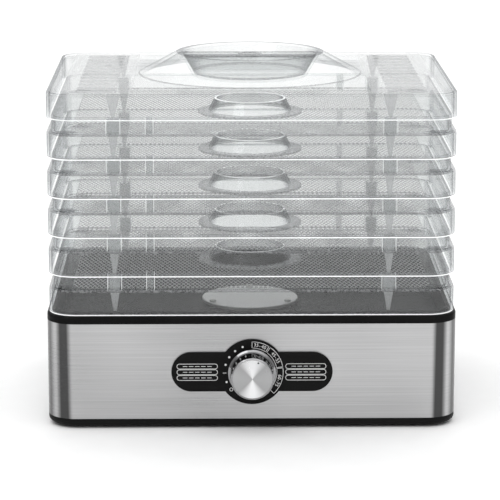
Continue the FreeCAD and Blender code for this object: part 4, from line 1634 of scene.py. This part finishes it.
    def knob(self) -> None:
        """Make the spun face of the knob about its own axis, with its pointer dot."""
        radius = self.cap_radius
        mould = Mould()
        outline = softened([(0.05, 0.0, 0.0), (radius, 0.0, 0.15), (radius, 0.8, 0.0), (0.05, 0.8, 0.0)])
        loops = [circle_loop(r, -h, 96) for r, h in outline]
        mould.bridge(loops, closed=True)
        data = mould.mesh("knob_face", [Finishes.SPUN])
        piece = bpy.data.objects.new("knob_face", data)
        piece.rotation_euler = Euler((math.radians(90), 0.0, 0.0))
        piece.location = (0.0, self.stack_y + self.cap_front * MM, self.centre_z * MM)
        bpy.context.scene.collection.objects.link(piece)
        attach(piece, Body.DIAL.value)
        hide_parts("knob_cap")
        dot = Mould()
        x, z = self.at(14.2, 19.4)
        loops = [[(x + u, self.cap_front + 0.02 - lift, self.centre_z + z + v)
                  for u, v, _ in circle_loop(0.7, 0.0, 24)] for lift in (0.0, 0.06)]
        dot.bridge(loops)
        self.show("pointer_dot", dot.mesh("pointer_dot", [Finishes.MATTE]), Body.DIAL.value, Slot.KNOB)

    def build(self) -> None:
        """Dress the fascia and knob and add the print."""
        self.dress(["control_fascia"], Finishes.GLOSS)
        self.dress(["dial_knob"], Finishes.KNOB)
        self.marks()
        self.knob()


# ---- Studio -------------------------------------------------------------------------------------


@dataclass
class Studio:
    """Floor, light and camera."""

    camera_place: Point3 = (-0.027, -1.99725, 0.564)
    tilt: float = 12.46
    turn: float = 0.774
    lens: float = 172.4
    walls: float = 0.55
    ceiling: float = 2.1
    backdrop: float = 0.6
    ceiling_edge: Point2 = (0.45, 0.8)
    lamps: list = field(default_factory=lambda: [
        ("key", (-0.9, -1.1, 1.5), (0.0, 0.0, 0.15), (0.9, 0.9), 4.0),
    ])

    def floor(self) -> None:
        """Lay a plain pale floor."""
        mould = Mould()
        side = 6000.0
        mould.face([(-side, -side, 0.0), (side, -side, 0.0), (side, side, 0.0), (-side, side, 0.0)])
        floor = bpy.data.objects.new("floor", mould.mesh("floor", [Finishes.PALE_FLOOR]))
        bpy.context.scene.collection.objects.link(floor)

    def world(self) -> None:
        """Soft surroundings: a bright ceiling that falls off to grey walls."""
        graph = Graph(bpy.data.worlds.new("studio"))
        way = graph.node("ShaderNodeTexCoord", output="Generated")
        height = graph.node("ShaderNodeSeparateXYZ", None, {0: way}, "Z")
        depth = graph.node("ShaderNodeSeparateXYZ", None, {0: way}, "Y")
        behind = depth.span(0.0, self.backdrop, 0.3, 0.8)
        glow = height.span(self.walls, self.ceiling, *self.ceiling_edge) + behind
        bpy.context.scene.world = graph.finish(graph.node("ShaderNodeBackground", None, {"Strength": glow}))

    def lamp(self, name: str, place: Point3, goal: Point3, size: Point2, power: float) -> None:
        """Hang one soft lamp.

        Args:
            name: Its name.
            place: Where it hangs.
            goal: What it faces.
            size: Its width and height.
            power: Its power in watts.
        """
        light = bpy.data.lights.new(name, "AREA")
        light.shape = "RECTANGLE"
        light.size, light.size_y = size
        light.energy = power
        hung = bpy.data.objects.new(name, light)
        hung.location = place
        hung.rotation_euler = (Vector(goal) - Vector(place)).to_track_quat("-Z", "Y").to_euler()
        bpy.context.scene.collection.objects.link(hung)

    def camera(self) -> None:
        """Set up the camera."""
        view = bpy.data.cameras.new("camera")
        view.sensor_width = 36.0
        view.lens = self.lens
        view.clip_end = 50.0
        holder = bpy.data.objects.new("camera", view)
        holder.location = self.camera_place
        holder.rotation_euler = Euler((math.radians(90 - self.tilt), 0.0, math.radians(-self.turn)))
        bpy.context.scene.collection.objects.link(holder)
        bpy.context.scene.camera = holder

    def build(self) -> None:
        """Set up the studio."""
        scene = bpy.context.scene
        scene.view_settings.view_transform = "Standard"
        scene.cycles.max_bounces = 32
        scene.cycles.transmission_bounces = 32
        scene.cycles.glossy_bounces = 8
        scene.cycles.transparent_max_bounces = 48
        self.floor()
        self.world()
        for lamp in self.lamps:
            self.lamp(*lamp)
        self.camera()
        log.info("studio: %d lamps", len(self.lamps))


def main() -> None:
    """Build every sub-assembly, then the studio."""
    logging.basicConfig(level=logging.INFO, format="%(message)s")
    parts = [BaseCase(), Internals(), ControlPanel(), Tray(), Lid(), Studio()]
    for part in parts:
        part.build()


if __name__ == "__main__":
    main()
